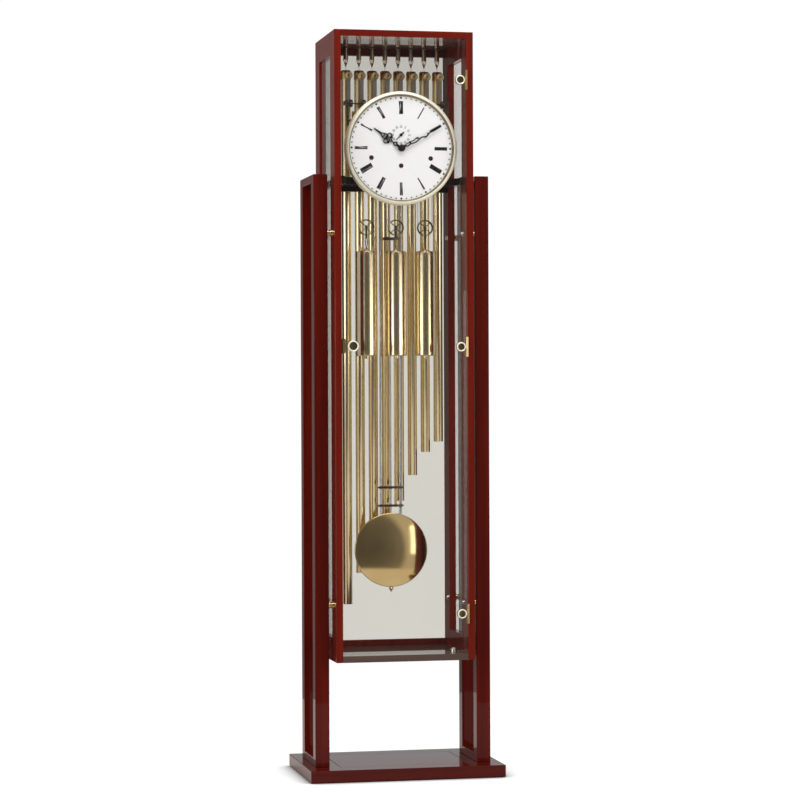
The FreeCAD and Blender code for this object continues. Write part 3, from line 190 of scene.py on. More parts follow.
def pane(name, tint, top=1.0):
    """Float glass: a faint tint over what is behind it, darkened towards the top by painted shade down to the
    factor top, and a mirror at a slant.
    """
    m = Nodes(name)
    clear = m.add("ShaderNodeBsdfTransparent")
    field = m.noise(m.place((1, 1, 0.3)), 3.0, 2.0)
    low = tuple(c * 0.99 for c in tint)
    height = m.add("ShaderNodeTexCoord")
    split = m.add("ShaderNodeSeparateXYZ")
    m.link(height.outputs["Generated"], split.inputs[0])
    # Painted shade: the tint is multiplied down towards the pane's top, to the factor top.
    painted_top_shade = m.ramp(split.outputs["Z"], [(0.0, (1.0,) * 3), (0.72, (1.0,) * 3), (0.93, (top,) * 3)])
    tint_and_top_shade = m.tree.nodes.new("ShaderNodeMixRGB")
    tint_and_top_shade.blend_type = "MULTIPLY"
    tint_and_top_shade.inputs["Fac"].default_value = 1.0
    m.link(m.ramp(field, [(0.35, low), (0.65, tint)]), tint_and_top_shade.inputs["Color1"])
    m.link(painted_top_shade, tint_and_top_shade.inputs["Color2"])
    m.link(tint_and_top_shade.outputs["Color"], clear.inputs["Color"])
    mirror = m.add("ShaderNodeBsdfGlossy", Roughness=0.0)
    mirror.inputs["Color"].default_value = (0.95, 0.97, 0.96, 1)
    slant = m.add("ShaderNodeLayerWeight", Blend=0.5)
    share = m.ramp(slant.outputs["Facing"], [(0.0, (0.022,) * 3), (0.5, (0.05,) * 3), (0.7, (0.14,) * 3),
                                             (0.8, (0.32,) * 3), (0.9, (0.60,) * 3), (1.0, (0.95,) * 3)])
    mix = m.add("ShaderNodeMixShader")
    m.link(share, mix.inputs[0])
    m.link(clear.outputs[0], mix.inputs[1])
    m.link(mirror.outputs[0], mix.inputs[2])
    m.link(mix.outputs[0], m.output.inputs["Surface"])
    return m.material


STAND_DEEP = (0.054, 0.0030, 0.0014)
STAND_LIGHT = (0.106, 0.0062, 0.0026)
CASE_DEEP = (0.086, 0.0054, 0.0022)
CASE_LIGHT = (0.152, 0.0110, 0.0044)
BRASS = (0.90, 0.70, 0.36)
BRASS_DARK = (0.80, 0.58, 0.27)
LOOK = {
    "stand_z": lacquer("stand_lacquer_upright", "Z", STAND_DEEP, STAND_LIGHT),
    "stand_y": lacquer("stand_lacquer_deep", "Y", STAND_DEEP, STAND_LIGHT),
    "stand_x": lacquer("stand_lacquer_across", "X", STAND_DEEP, STAND_LIGHT),
    "case_z": lacquer("case_lacquer_upright", "Z", CASE_DEEP, CASE_LIGHT),
    "case_x": lacquer("case_lacquer_across", "X", CASE_DEEP, CASE_LIGHT),
    "case_y": lacquer("case_lacquer_deep", "Y", CASE_DEEP, CASE_LIGHT),
    "brass": metal("polished_brass", BRASS, BRASS_DARK, 0.09),
    "tube_brass": metal("drawn_brass_tube", (0.99, 0.85, 0.55), (0.93, 0.78, 0.47), 0.19, "Z", 0.04),
    "weight_brass": metal("weight_shell_brass", (1.0, 0.87, 0.58), (0.95, 0.80, 0.50), 0.16, "Z", 0.04),
    "mirror_brass": metal("mirror_brass", (0.84, 0.65, 0.33), (0.78, 0.58, 0.27), 0.10, None, 0.02),
    "bezel_brass": metal("champagne_brass", (0.97, 0.93, 0.77), (0.90, 0.85, 0.67), 0.40, None, 0.05, 0.45),
    # Dark brass as painted shade on the bezel's inner slope; the hammer pins take it too.
    "bezel_shade": metal("bezel_inner_painted_shade", (0.34, 0.29, 0.20), (0.24, 0.20, 0.13), 0.30),
    "wheel_brass": metal("wheel_brass", (0.36, 0.30, 0.17), (0.24, 0.20, 0.11), 0.26),
    "link_brass": metal("link_brass", (0.34, 0.29, 0.17), (0.22, 0.18, 0.10), 0.22),
    "post_bronze": metal("hanging_post_bronze", (0.66, 0.56, 0.44), (0.44, 0.36, 0.26), 0.20),
    "cap_brass": metal("old_gold_brass", (0.78, 0.54, 0.21), (0.60, 0.37, 0.12), 0.22),
    "head_brass": metal("satin_hammer_brass", (0.84, 0.69, 0.40), (0.62, 0.48, 0.25), 0.40),
    "shank_steel": metal("hammer_shank_steel", (0.46, 0.42, 0.38), (0.34, 0.31, 0.28), 0.34, "Z"),
    "wire": metal("hanging_wire", (0.78, 0.76, 0.70), (0.66, 0.63, 0.56), 0.30),
    "plate_brass": metal("brushed_brass_plate", (0.78, 0.60, 0.30), (0.70, 0.52, 0.25), 0.28, "X"),
    "steel": metal("ground_steel", (0.62, 0.62, 0.61), (0.48, 0.48, 0.47), 0.24, "Z"),
    "bright_steel": metal("polished_steel", (0.75, 0.75, 0.74), (0.62, 0.62, 0.61), 0.12),
    "dish": metal("dished_brass_in_shade", (0.30, 0.25, 0.15), (0.14, 0.12, 0.07), 0.22),
    "bronze": metal("dark_bronze", (0.20, 0.15, 0.09), (0.09, 0.065, 0.045), 0.30),
    "cable": metal("steel_cable", (0.55, 0.53, 0.48), (0.35, 0.33, 0.30), 0.35),
    "black": paint("black_enamel", (0.005, 0.005, 0.0055), 0.35, 0.06, gloss=0.2),
    "blacked": paint("blackened_steel", (0.03, 0.028, 0.027), 0.4),
    "print": paint("dial_print", (0.008, 0.008, 0.009), 0.5, gloss=0.1),
    "grey_print": paint("dial_print_grey", (0.10, 0.10, 0.105), 0.5, gloss=0.1),
    "dial": paint("dial_white", (0.87, 0.87, 0.885), 0.35, 0.2, 0.006),
    "dark_wood": lacquer("dark_stained_wood", "X", (0.010, 0.006, 0.004), (0.022, 0.012, 0.008)),
    "case_floor": lacquer("case_floor_lacquer", "X", (0.070, 0.045, 0.037), (0.105, 0.070, 0.057)),
    "rubber": paint("glide_rubber", (0.02, 0.02, 0.02), 0.75),
    "acrylic": paint("level_liquid", (0.62, 0.72, 0.50), 0.12, 0.8),
    "inlay": paint("inlay_line", (0.030, 0.016, 0.012), 0.6, gloss=0.15),
    "door_glass": pane("door_glass", (0.988, 0.988, 0.982)),
    "side_glass": pane("side_glass", (0.975, 0.975, 0.965)),
    # The back pane's 0.88 is painted shade at the top of the glass.
    "back_glass": pane("back_glass", (0.850, 0.838, 0.805), 0.88),
}


# Mesh helpers

AXES = {
    "Z": Matrix.Identity(4),
    "Y": Matrix.Rotation(-math.pi / 2, 4, "X"),
    "X": Matrix.Rotation(math.pi / 2, 4, "Y"),
}


def piece(name, bm, look, body, replaces=(), sharp=35):
    """A finished piece: smooth shading with sharp edges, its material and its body."""
    mesh = mesh_of(name, bm)
    thing = bpy.data.objects.new(name, mesh)
    bpy.context.scene.collection.objects.link(thing)
    mesh.materials.append(LOOK[look])
    for face in mesh.polygons:
        face.use_smooth = True
    mesh.set_sharp_from_angle(angle=math.radians(sharp))
    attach(thing, body)
    if replaces:
        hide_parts(*replaces)
    return thing


def mesh_of(name, bm):
    bmesh.ops.recalc_face_normals(bm, faces=bm.faces)
    mesh = bpy.data.meshes.new(name)
    bm.to_mesh(mesh)
    bm.free()
    return mesh


def lathe(bm, profile, centre, along="Z", segments=64):
    """Turns a profile of (radius, height) round an axis through centre. Points on the axis close the ends."""
    place = Matrix.Translation(centre) @ AXES[along]
    rings = []
    for radius, height in profile:
        if radius < 1e-7:
            rings.append([bm.verts.new(place @ Vector((0, 0, height)))])
            continue
        rings.append([bm.verts.new(place @ Vector((radius * math.cos(2 * math.pi * i / segments),
                                                   radius * math.sin(2 * math.pi * i / segments), height)))
                      for i in range(segments)])
    for low, high in zip(rings, rings[1:]):
        for i in range(segments):
            j = (i + 1) % segments
            corners = [low[i % len(low)], low[j % len(low)], high[j % len(high)], high[i % len(high)]]
            unique = list(dict.fromkeys(corners))
            if len(unique) > 2:
                bm.faces.new(unique)


def scaled(profile):
    """A profile written in millimetres, in metres."""
    return [(radius * MM, height * MM) for radius, height in profile]


def rounded(radius, start, end, edge, steps=4, inner=0.0):
    """The profile of a solid disc or bar with rounded rims, in the units given."""
    points = [(inner, start)]
    for i in range(steps + 1):
        angle = math.pi / 2 * i / steps
        points.append((radius - edge + edge * math.sin(angle), start + edge - edge * math.cos(angle)))
    for i in range(steps + 1):
        angle = math.pi / 2 * i / steps
        points.append((radius - edge + edge * math.cos(angle), end - edge + edge * math.sin(angle)))
    points.append((inner, end))
    return points


def sweep(bm, points, radius, sides=8, closed=False):
    """A round wire along points."""
    count = len(points)
    rings = []
    normal = None
    for i, point in enumerate(points):
        before = points[(i - 1) % count] if closed or i else point
        after = points[(i + 1) % count] if closed or i < count - 1 else point
        tangent = (after - before).normalized()
        if normal is None:
            normal = tangent.orthogonal().normalized()
        normal = (normal - tangent * normal.dot(tangent)).normalized()
        side = tangent.cross(normal)
        rings.append([bm.verts.new(point + radius * (math.cos(2 * math.pi * k / sides) * normal
                                                     + math.sin(2 * math.pi * k / sides) * side))
                      for k in range(sides)])
    pairs = list(zip(rings, rings[1:]))
    if closed:
        pairs.append((rings[-1], rings[0]))
    for low, high in pairs:
        for k in range(sides):
            bm.faces.new([low[k], low[(k + 1) % sides], high[(k + 1) % sides], high[k]])
    if not closed:
        bm.faces.new(rings[0])
        bm.faces.new(rings[-1])


def slab(bm, low, high, edge=0.0, turn=None):
    """A block between two corners with eased edges."""
    made = bmesh.ops.create_cube(bm, size=1.0)
    low, high = Vector(low), Vector(high)
    size = high - low
    place = Matrix.Translation((low + high) / 2)
    if turn is not None:
        place = place @ turn
    bmesh.ops.transform(bm, matrix=place @ Matrix.Diagonal((*size, 1)), verts=made["verts"])
    if edge:
        edges = list({e for v in made["verts"] for e in v.link_edges})
        bmesh.ops.bevel(bm, geom=edges, offset=edge, segments=2, affect="EDGES", clamp_overlap=True)


def circle_points(centre, radius, count, axis="Y", start=0.0, turn=2 * math.pi):
    points = []
    for i in range(count):
        angle = start + turn * i / count
        across, up = radius * math.cos(angle), radius * math.sin(angle)
        offset = {"Y": (across, 0, up), "X": (0, across, up), "Z": (across, up, 0)}[axis]
        points.append(Vector(centre) + Vector(offset))
    return points


def middle(node):
    low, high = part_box(node)
    return (low + high) / 2


def finish_node(node, look):
    """Gives a CAD node that keeps its shape its procedural material."""
    thing = NODES[node]
    for slot_entry in thing.material_slots:
        slot_entry.material = LOOK[look]
    if not thing.material_slots:
        thing.data.materials.append(LOOK[look])


# Case, stand and other CAD nodes that keep their shape

def keep_cad_shapes():
    finishes = {
        "base_plate": "stand_x", "stand_posts": "stand_z", "stand_rails": "stand_y",
        "case_stiles": "case_z", "case_rails": "case_y", "case_top_board": "case_x",
        "case_bottom_board": "case_floor", "seat_board": "dark_wood", "seat_bearers": "dark_wood",
        "door_pane": "door_glass", "side_panes": "side_glass", "back_pane": "back_glass",
        "levelling_feet": "rubber", "stand_bolts": "steel", "case_spacers": "brass",
        "hinge_leaves": "brass", "door_hinges": "brass", "door_knob": "brass", "magnetic_catch": "blacked",
        "cable_anchors": "steel", "movement_plates": "plate_brass", "plate_pillars": "brass",
        "dial_plate": "dial", "dial_numerals": "print", "hour_hand": "black", "minute_hand": "black",
        "centre_arbor": "black", "seconds_hand": "black", "escape_wheel": "brass",
        "pallets_and_crutch": "steel", "suspension_cock": "plate_brass", "hammer_frame": "blacked",
        "chime_barrel": "bronze",
    }
    for side in SIDES:
        finishes[side + "_drum"] = "brass"
    for node, look in finishes.items():
        finish_node(node, look)


# Bells, their caps and hanging posts

def bells():
    for number, length in enumerate(BELL_LENGTHS):
        tag = str(number + 1)
        x = TUBE_FIRST_X + number * TUBE_PITCH
        bell(tag, x, length)
        hanging_post(tag, x)
        bell_wire(tag, x)


def bell(tag, x, length):
    """An open brass tube with its turned cap."""
    low = TUBE_TOP - length * MM
    inner = TUBE_RADIUS - TUBE_WALL
    top = TUBE_TOP - 20 * MM
    wall = [(inner, top), (inner, low + 0.6 * MM), (inner + 0.4 * MM, low),
            (TUBE_RADIUS - 0.4 * MM, low), (TUBE_RADIUS, low + 0.6 * MM), (TUBE_RADIUS, top)]
    bm = bmesh.new()
    lathe(bm, wall, (x, TUBE_Y, 0), segments=72)
    piece("bell_" + tag, bm, "tube_brass", ROOT, ["bell_tubes"])
    cap = scaled([(0, -3), (11.6, -3), (11.6, -25), (13.4, -25), (14, -24.4), (14, -17), (13.6, -16.5),
                  (13.6, -15.5), (14, -15), (14, -3.5), (13.2, -1.2), (11.5, 0), (0, 0)])
    bm = bmesh.new()
    lathe(bm, cap, (x, TUBE_Y, TUBE_TOP), segments=64)
    piece("bell_cap_" + tag, bm, "cap_brass", ROOT, ["bell_tubes"])


def hanging_post(tag, x):
    """A bronze post under the ceiling, with a darker tip and collar."""
    post = scaled([(4.6, 21.2), (5.0, 22), (5.2, 23.4), (6.6, 29), (6.9, 31), (6.9, 63), (0, 63)])
    bm = bmesh.new()
    lathe(bm, post, (x, TUBE_Y, TUBE_TOP), segments=48)
    piece("hanging_post_" + tag, bm, "post_bronze", ROOT, ["bell_hangers"])
    tip = scaled([(0, 11), (1.7, 11), (2.0, 12), (2.0, 15), (3.2, 16), (3.5, 17.5), (4.4, 20.5),
                  (4.6, 21.2)])
    collar = scaled([(6.9, 62.6), (7.4, 62.6), (7.6, 63), (7.6, 64.7), (7.4, 65), (0, 65)])
    bm = bmesh.new()
    lathe(bm, tip, (x, TUBE_Y, TUBE_TOP), segments=40)
    lathe(bm, collar, (x, TUBE_Y, TUBE_TOP), segments=40)
    piece("post_tip_" + tag, bm, "bronze", ROOT, ["bell_hangers"])


def bell_wire(tag, x):
    """The loop of wire that holds a bell's cap to its post."""
    arch = [(math.cos(math.radians(angle)), 11.5 + math.sin(math.radians(angle)))
            for angle in range(150, -1, -30)]
    loop = [(-0.9, -1), (-1.0, 8)] + arch + [(1.0, 8), (0.9, -1)]
    bm = bmesh.new()
    sweep(bm, [Vector((x + across * MM, TUBE_Y, TUBE_TOP + up * MM)) for across, up in loop], 0.3 * MM, 6)
    piece("bell_wire_" + tag, bm, "wire", ROOT)


# Hammers: brass heads on flat steel shanks

def hammers():
    for number in range(len(BELL_LENGTHS)):
        tag = str(number + 1)
        node = "hammer_" + tag
        body = "hammer_arm_" + tag
        x = TUBE_FIRST_X + number * TUBE_PITCH + HAMMER_SHIFT
        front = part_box(node)[1].y - HAMMER_LENGTH
        head = scaled([(0, 1.4), (3.4, 1.4), (3.6, 0.2), (4.4, 0), (5.2, 0.9), (6.4, 1.2), (7.4, 0.5),
                       (9.2, 0.2), (10.2, 0.7), (10.8, 1.8), (10.8, 10.6), (10.0, 11.6), (7.0, 12),
                       (6.4, 15.4), (6, 16), (0, 16)])
        bm = bmesh.new()
        lathe(bm, head, (x, front, HAMMER_Z), "Y", 56)
        piece("hammer_head_" + tag, bm, "head_brass", body, [node])
        pin = scaled([(0, 0.1), (1.5, 0.2), (2.6, 0.7), (3.0, 1.5), (3.0, 4), (0, 4)])
        bm = bmesh.new()
        lathe(bm, pin, (x, front, HAMMER_Z), "Y", 28)
        piece("hammer_pin_" + tag, bm, "bezel_shade", body, [node])
        bm = bmesh.new()
        slab(bm, (x - 5 * MM, HAMMER_Y - 1 * MM, HAMMER_PIVOT_Z - 2 * MM),
             (x + 5 * MM, HAMMER_Y + 1 * MM, HAMMER_Z), 0.3 * MM)
        slab(bm, (x - 2 * MM, HAMMER_Y - 14.5 * MM, HAMMER_PIVOT_Z - 1 * MM),
             (x + 2 * MM, HAMMER_Y - 2.5 * MM, HAMMER_PIVOT_Z + 1 * MM), 0.3 * MM)
        lathe(bm, scaled(rounded(5, -6, 6, 0.5, inner=2.06)), (x, HAMMER_Y, HAMMER_PIVOT_Z), "X", 32)
        piece("hammer_shank_" + tag, bm, "shank_steel", body, [node])


# Weights, their stirrups and hooks, and the cables

def weight_profile(length):
    """Shell in millimetres above its own foot, with the nut under it and the neck on top."""
    return [(0, -8), (4.6, -8), (6.4, -7.2), (7, -6), (7, -1.4), (8.6, -1), (8.8, 0), (27.6, 0), (28.6, 0.3),
            (29.6, 1.2), (30, 2.6), (30, 9), (29.75, 9.3), (29.75, 10), (30, 10.3), (30, length - 10.3),
            (29.75, length - 10), (29.75, length - 9.3), (30, length - 9), (30, length - 4),
            (29.4, length - 2.4), (27.5, length - 1.2), (24, length), (9, length + 1), (7, length + 1.6),
            (6.4, length + 4.6), (4.6, length + 5.6), (3, length + 7), (3, length + 10), (0, length + 10)]


def weights():
    for side in SIDES:
        node = side + "_weight"
        body = side + "_weight_and_hook"
        x = middle(node).x
        weight_shell(side, node, body, x)
        stirrup(side, node, body, x)
        hook(side, node, body, x)


def weight_shell(side, node, body, x):
    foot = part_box(node)[0].z + 8 * MM
    bm = bmesh.new()
    lathe(bm, scaled(weight_profile(WEIGHT_LENGTH)), (x, CABLE_Y, foot), segments=96)
    piece(side + "_weight_shell", bm, "weight_brass", body, [node])


def stirrup(side, node, body, x):
    """Two cheeks beside the pulley, joined under it and carried by its axle."""
    bm = bmesh.new()
    for toward in (-1, 1):
        near = CABLE_Y + toward * 5 * MM
        far = CABLE_Y + toward * 6.5 * MM
        slab(bm, (x - 1.8 * MM, min(near, far), PULLEY_Z - 27 * MM),
             (x + 1.8 * MM, max(near, far), PULLEY_Z + 3.5 * MM), 0.3 * MM)
    slab(bm, (x - 3.4 * MM, CABLE_Y - 6.5 * MM, PULLEY_Z - 28.6 * MM),
         (x + 3.4 * MM, CABLE_Y + 6.5 * MM, PULLEY_Z - 26.2 * MM), 0.3 * MM)
    lathe(bm, scaled(rounded(3.2, -8.2, -6.4, 0.5)), (x, CABLE_Y, PULLEY_Z), "Y", 24)
    lathe(bm, scaled(rounded(3.2, 6.4, 8.2, 0.5)), (x, CABLE_Y, PULLEY_Z), "Y", 24)
    lathe(bm, scaled([(0, -6.5), (1.95, -6.5), (1.95, 6.5), (0, 6.5)]), (x, CABLE_Y, PULLEY_Z), "Y", 24)
    piece(side + "_stirrup", bm, "wheel_brass", body, [node])


def hook(side, node, body, x):
    """A waisted link under the stirrup, and the ring that holds the weight."""
    bm = bmesh.new()
    link_z = PULLEY_Z - 40.5 * MM
    waist = []
    for i in range(48):
        angle = 2 * math.pi * i / 48
        across = (3.6 + 1.0 * math.cos(2 * angle + math.pi)) * math.cos(angle)
        waist.append(Vector((x + across * MM, CABLE_Y, link_z + 10.3 * MM * math.sin(angle))))
    sweep(bm, waist, 1.2 * MM, 8, closed=True)
    slab(bm, (x - 3.2 * MM, CABLE_Y - 1 * MM, link_z - 0.9 * MM),
         (x + 3.2 * MM, CABLE_Y + 1 * MM, link_z + 0.9 * MM), 0.2 * MM)
    lathe(bm, scaled([(0, 0), (2.0, 0), (2.4, 1), (2.4, 2.4), (0, 2.4)]),
          (x, CABLE_Y, PULLEY_Z - 30.6 * MM), "Z", 20)
    ring = circle_points((x, CABLE_Y, link_z - 14.6 * MM), 3.3 * MM, 28, "X")
    sweep(bm, ring, 1.2 * MM, 8, closed=True)
    lathe(bm, scaled([(0, 0), (2.6, 0), (2.6, 1), (2.0, 1.6), (2.0, 5.4), (0, 5.4)]),
          (x, CABLE_Y, PULLEY_Z - 63.4 * MM), "Z", 20)
    piece(side + "_hook", bm, "link_brass", body, [node])


def pulleys():
    """Wheels with a grooved rim, two pairs of curved spokes and a hub."""
    spoke = [(13.6, 13.6), (8.4, 8.8), (4.4, 5.8), (0.0, 4.4), (-4.4, 5.8), (-8.4, 8.8), (-13.6, 13.6)]
    rim = [(19.0, -2.2), (22.0, -3.2), (22.5, -3.0), (22.4, -2.6), (19.9, -0.9), (19.6, 0.0), (19.9, 0.9),
           (22.4, 2.6), (22.5, 3.0), (22.0, 3.2), (19.0, 2.2), (18.6, 1.6), (18.6, -1.6), (19.0, -2.2)]
    for side in SIDES:
        node = side + "_pulley"
        centre = middle(node)
        bm = bmesh.new()
        lathe(bm, scaled(rim), centre, "Y", 72)
        lathe(bm, scaled(rounded(4.4, -3.4, 3.4, 0.5, inner=2.0)), centre, "Y", 32)
        for sign in (-1, 1):
            path = [centre + Vector((x * MM, 0, sign * z * MM)) for x, z in spoke]
            sweep(bm, path, 1.35 * MM, 8)
        piece(side + "_wheel", bm, "wheel_brass", side + "_pulley_wheel", [node])


def cables():
    """Each cable runs from its drum under the pulley to its anchor."""
    for side in SIDES:
        node = side + "_cable"
        low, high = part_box(node)
        x = (low.x + high.x) / 2
        anchor_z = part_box("cable_anchors")[0].z
        line = [(DRUM_RADIUS, high.z), (DRUM_RADIUS, high.z - 10 * MM), (DRUM_RADIUS, PULLEY_Z + 3 * MM)]
        steps = 24
        for i in range(steps + 1):
            angle = math.pi * i / steps
            line.append((DRUM_RADIUS * math.cos(angle), PULLEY_Z - DRUM_RADIUS * math.sin(angle)))
        line += [(-DRUM_RADIUS, PULLEY_Z + 3 * MM), (-DRUM_RADIUS, anchor_z)]
        bm = bmesh.new()
        sweep(bm, [Vector((x + across, CABLE_Y, z)) for across, z in line], 0.8 * MM, 10)
        thing = bpy.data.objects.new(side + "_cable_wire", mesh_of(side + "_cable_wire", bm))
        bpy.context.scene.collection.objects.link(thing)
        thing.data.materials.append(LOOK["cable"])
        for face in thing.data.polygons:
            face.use_smooth = True
        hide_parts(node)
        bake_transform(thing)
        winding(side)


def winding(side):
    """The cable's turns on a drum, as one spiral."""
    centre = middle(side + "_drum")
    turns = 26
    per_turn = 28
    start_y = CABLE_Y - 1 * MM
    pitch = 0.95 * MM
    strand = 0.42 * MM
    radius = 19.5 * MM
    bm = bmesh.new()
    points = []
    for i in range(turns * per_turn + 1):
        angle = 2 * math.pi * i / per_turn
        y = start_y - 24 * MM + pitch * i / per_turn
        points.append(Vector((centre.x + radius * math.cos(angle), y, centre.z + radius * math.sin(angle))))
    sweep(bm, points, strand, 6)
    piece(side + "_winding", bm, "cable", side + "_winding_drum")


# Pendulum: a gridiron of steel and brass rods, the bob and the rating nut

def steel_rods():
    """The outer rods down to the bob, the middle rod down to the rating nut, and the spring above."""
    rods_low, rods_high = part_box("pendulum_rods")
    bob_low, bob_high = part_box("pendulum_bob")
    bob_z = (bob_low.z + bob_high.z) / 2
    radius = (bob_high.z - bob_low.z) / 2
    foot = bob_z + math.sqrt(radius ** 2 - ROD_SPREAD ** 2) + 1 * MM
    pivot_z = rods_high.z + 0.3 * MM
    bm = bmesh.new()
    for sign in (-1, 1):
        lathe(bm, [(0, foot), (ROD_RADIUS, foot), (ROD_RADIUS, BAR_TOP), (0, BAR_TOP)],
              (sign * ROD_SPREAD, PENDULUM_Y, 0), segments=32)
    lathe(bm, [(0, BAR_TOP), (ROD_RADIUS, BAR_TOP), (ROD_RADIUS, pivot_z - 36 * MM), (0, pivot_z - 36 * MM)],
          (0, PENDULUM_Y, 0), segments=32)
    lathe(bm, [(0, rods_low.z), (2.5 * MM, rods_low.z), (2.5 * MM, BAR_SHORT), (0, BAR_SHORT)],
          (0, PENDULUM_Y, 0), segments=28)
    slab(bm, (-5 * MM, PENDULUM_Y - 0.2 * MM, pivot_z - 28.3 * MM),
         (5 * MM, PENDULUM_Y + 0.2 * MM, rods_high.z))
    slab(bm, (-7 * MM, PENDULUM_Y - 3 * MM, pivot_z - 36 * MM),
         (7 * MM, PENDULUM_Y + 3 * MM, pivot_z - 28 * MM), 0.8 * MM)
    piece("pendulum_steel_rods", bm, "bright_steel", "pendulum", ["pendulum_rods"])


def brass_rods():
    """The two inner rods between the short bar and the lowest one."""
    bm = bmesh.new()
    for sign in (-1, 1):
        lathe(bm, [(0, BAR_LOW), (ROD_RADIUS, BAR_LOW), (ROD_RADIUS, BAR_SHORT), (0, BAR_SHORT)],
              (sign * ROD_SPREAD / 2, PENDULUM_Y, 0), segments=32)
    piece("pendulum_brass_rods", bm, "brass", "pendulum", ["pendulum_rods"])


def cross_bars():
    """Dark bars across the rods, with a collar round each rod that passes a long bar."""
    bm = bmesh.new()
    capsule_bar(bm, 0, PENDULUM_Y, BAR_SHORT, ROD_SPREAD / 2 + 6 * MM, 6 * MM, 4 * MM)
    outer = (-ROD_SPREAD, ROD_SPREAD)
    every = (-ROD_SPREAD, -ROD_SPREAD / 2, 0, ROD_SPREAD / 2, ROD_SPREAD)
    for z, half, collars in ((BAR_TOP - 3 * MM, 3 * MM, outer), (BAR_MIDDLE, 2.5 * MM, every),
                             (BAR_LOW, 2.5 * MM, every)):
        capsule_bar(bm, 0, PENDULUM_Y, z, ROD_SPREAD + 9 * MM, 6 * MM, half)
        for x in collars:
            lathe(bm, [(4.9 * MM, z - half - 1.2 * MM), (5.4 * MM, z - half - 0.8 * MM),
                       (5.4 * MM, z + half + 0.8 * MM), (4.9 * MM, z + half + 1.2 * MM)],
                  (x, PENDULUM_Y, 0), segments=24)
    piece("pendulum_cross_bars", bm, "bronze", "pendulum", ["pendulum_rods"])


def bob():
    """Two shallow domes that meet in a rounded rim."""
    bob_low, bob_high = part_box("pendulum_bob")
    bob_z = (bob_low.z + bob_high.z) / 2
    radius = (bob_high.z - bob_low.z) / 2
    half = (bob_high.y - bob_low.y) / 2
    rim = 4 * MM
    curve = (radius ** 2 + (half - rim) ** 2) / (2 * (half - rim))
    steps = 40
    front = []
    for i in range(steps + 1):
        r = radius * 0.985 * i / steps
        front.append((r, -(half - curve + math.sqrt(curve ** 2 - r ** 2))))
    edge = [(radius * 0.993, front[-1][1] + 0.35 * MM), (radius * 0.998, front[-1][1] + 1.2 * MM),
            (radius, front[-1][1] + 2.4 * MM)]
    back = [(r, -y) for r, y in reversed(front + edge)]
    bm = bmesh.new()
    lathe(bm, front + edge + back, (0, PENDULUM_Y, bob_z), "Y", 160)
    piece("bob", bm, "mirror_brass", "pendulum", ["pendulum_bob"], sharp=60)


def rating_nut():
    bm = bmesh.new()
    nut_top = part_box("rating_nut")[1].z
    nut = scaled([(2.55, -9), (3.6, -9), (5.6, -7.6), (6.5, -6.4), (6.5, -2.6), (5.6, -1.4), (3.6, 0),
                  (2.55, 0)])
    lathe(bm, nut, (0, PENDULUM_Y, nut_top), segments=20)
    piece("rating_nut_knurled", bm, "brass", "pendulum", ["rating_nut"], sharp=12)


def capsule_bar(bm, x, y, z, half_length, half_width, half_height):
    """A flat bar with round ends, as the cross bars of the gridiron."""
    outline = []
    for end in (1, -1):
        for i in range(9):
            angle = -math.pi / 2 + math.pi * i / 8
            outline.append((end * (half_length - half_width + half_width * math.cos(angle)),
                            end * half_width * math.sin(angle)))
    edge = 0.5 * MM
    rings = []
    layers = ((-half_height, edge), (-half_height + edge, 0), (half_height - edge, 0), (half_height, edge))
    for height, inset in layers:
        scale = (half_width - inset) / half_width
        rings.append([bm.verts.new((x + px * (1 - inset / half_length), y + py * scale, z + height))
                      for px, py in outline])
    count = len(outline)
    for low, high in zip(rings, rings[1:]):
        for i in range(count):
            bm.faces.new([low[i], low[(i + 1) % count], high[(i + 1) % count], high[i]])
    bm.faces.new(rings[0])
    bm.faces.new(rings[-1])


# Dial: bezel, seconds ring, winding sockets

def bezel():
    profile = scaled([(146.6, -1.0), (146.8, -8.8), (147.2, -9.9), (148.0, -10.3), (149.2, -10.1),
                      (151.4, -9.1), (153.6, -8.0), (154.9, -7.2), (155.5, -6.4), (155.6, -1.8),
                      (155.2, -0.8), (154, -0.2), (154, 12.6), (154.4, 13), (155.6, 13), (156, 13.4),
                      (156, 14.6), (155.6, 15), (150.5, 15), (150.2, 14.7), (150.2, 0.2), (147, 0)])
    bm = bmesh.new()
    lathe(bm, profile, (0, DIAL_Y, DIAL_Z), "Y", 160)
    piece("bezel", bm, "bezel_brass", ROOT, ["dial_bezel"], sharp=50)
    # The inner slope is painted shade: the bezel's brass made dark, between bezel and dial.
    bm = bmesh.new()
    slope = scaled([(142.0, -0.02), (142.2, -1.0), (143.0, -2.6), (144.0, -5.0), (145.2, -7.2), (146.8, -8.6),
                    (146.8, -1.0), (146.0, -0.02)])
    lathe(bm, slope, (0, DIAL_Y, DIAL_Z), "Y", 160)
    piece("bezel_slope", bm, "bezel_shade", ROOT, ["dial_bezel"], sharp=50)


def seconds_figures():
    seconds_z = DIAL_Z + 36.5 * MM
    figures_radius = 22.5 * MM
    print_height = 0.06 * MM
    for number in range(12):
        angle = math.radians(30 * number)
        text = bpy.data.curves.new("second_%d" % number, "FONT")
        text.body = str(number * 5 if number else 60)
        text.size = 7.8 * MM
        text.extrude = 0.04 * MM
        text.offset = 0.12 * MM
        text.align_x = "CENTER"
        text.align_y = "CENTER"
        thing = bpy.data.objects.new("second_figure_%d" % (number * 5), text)
        thing.location = (figures_radius * math.sin(angle), DIAL_Y - print_height,
                          seconds_z + figures_radius * math.cos(angle))
        thing.rotation_euler = Euler((math.pi / 2, angle, 0), "XYZ")
        bpy.context.scene.collection.objects.link(thing)
        text.materials.append(LOOK["grey_print"])
        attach(thing, ROOT)


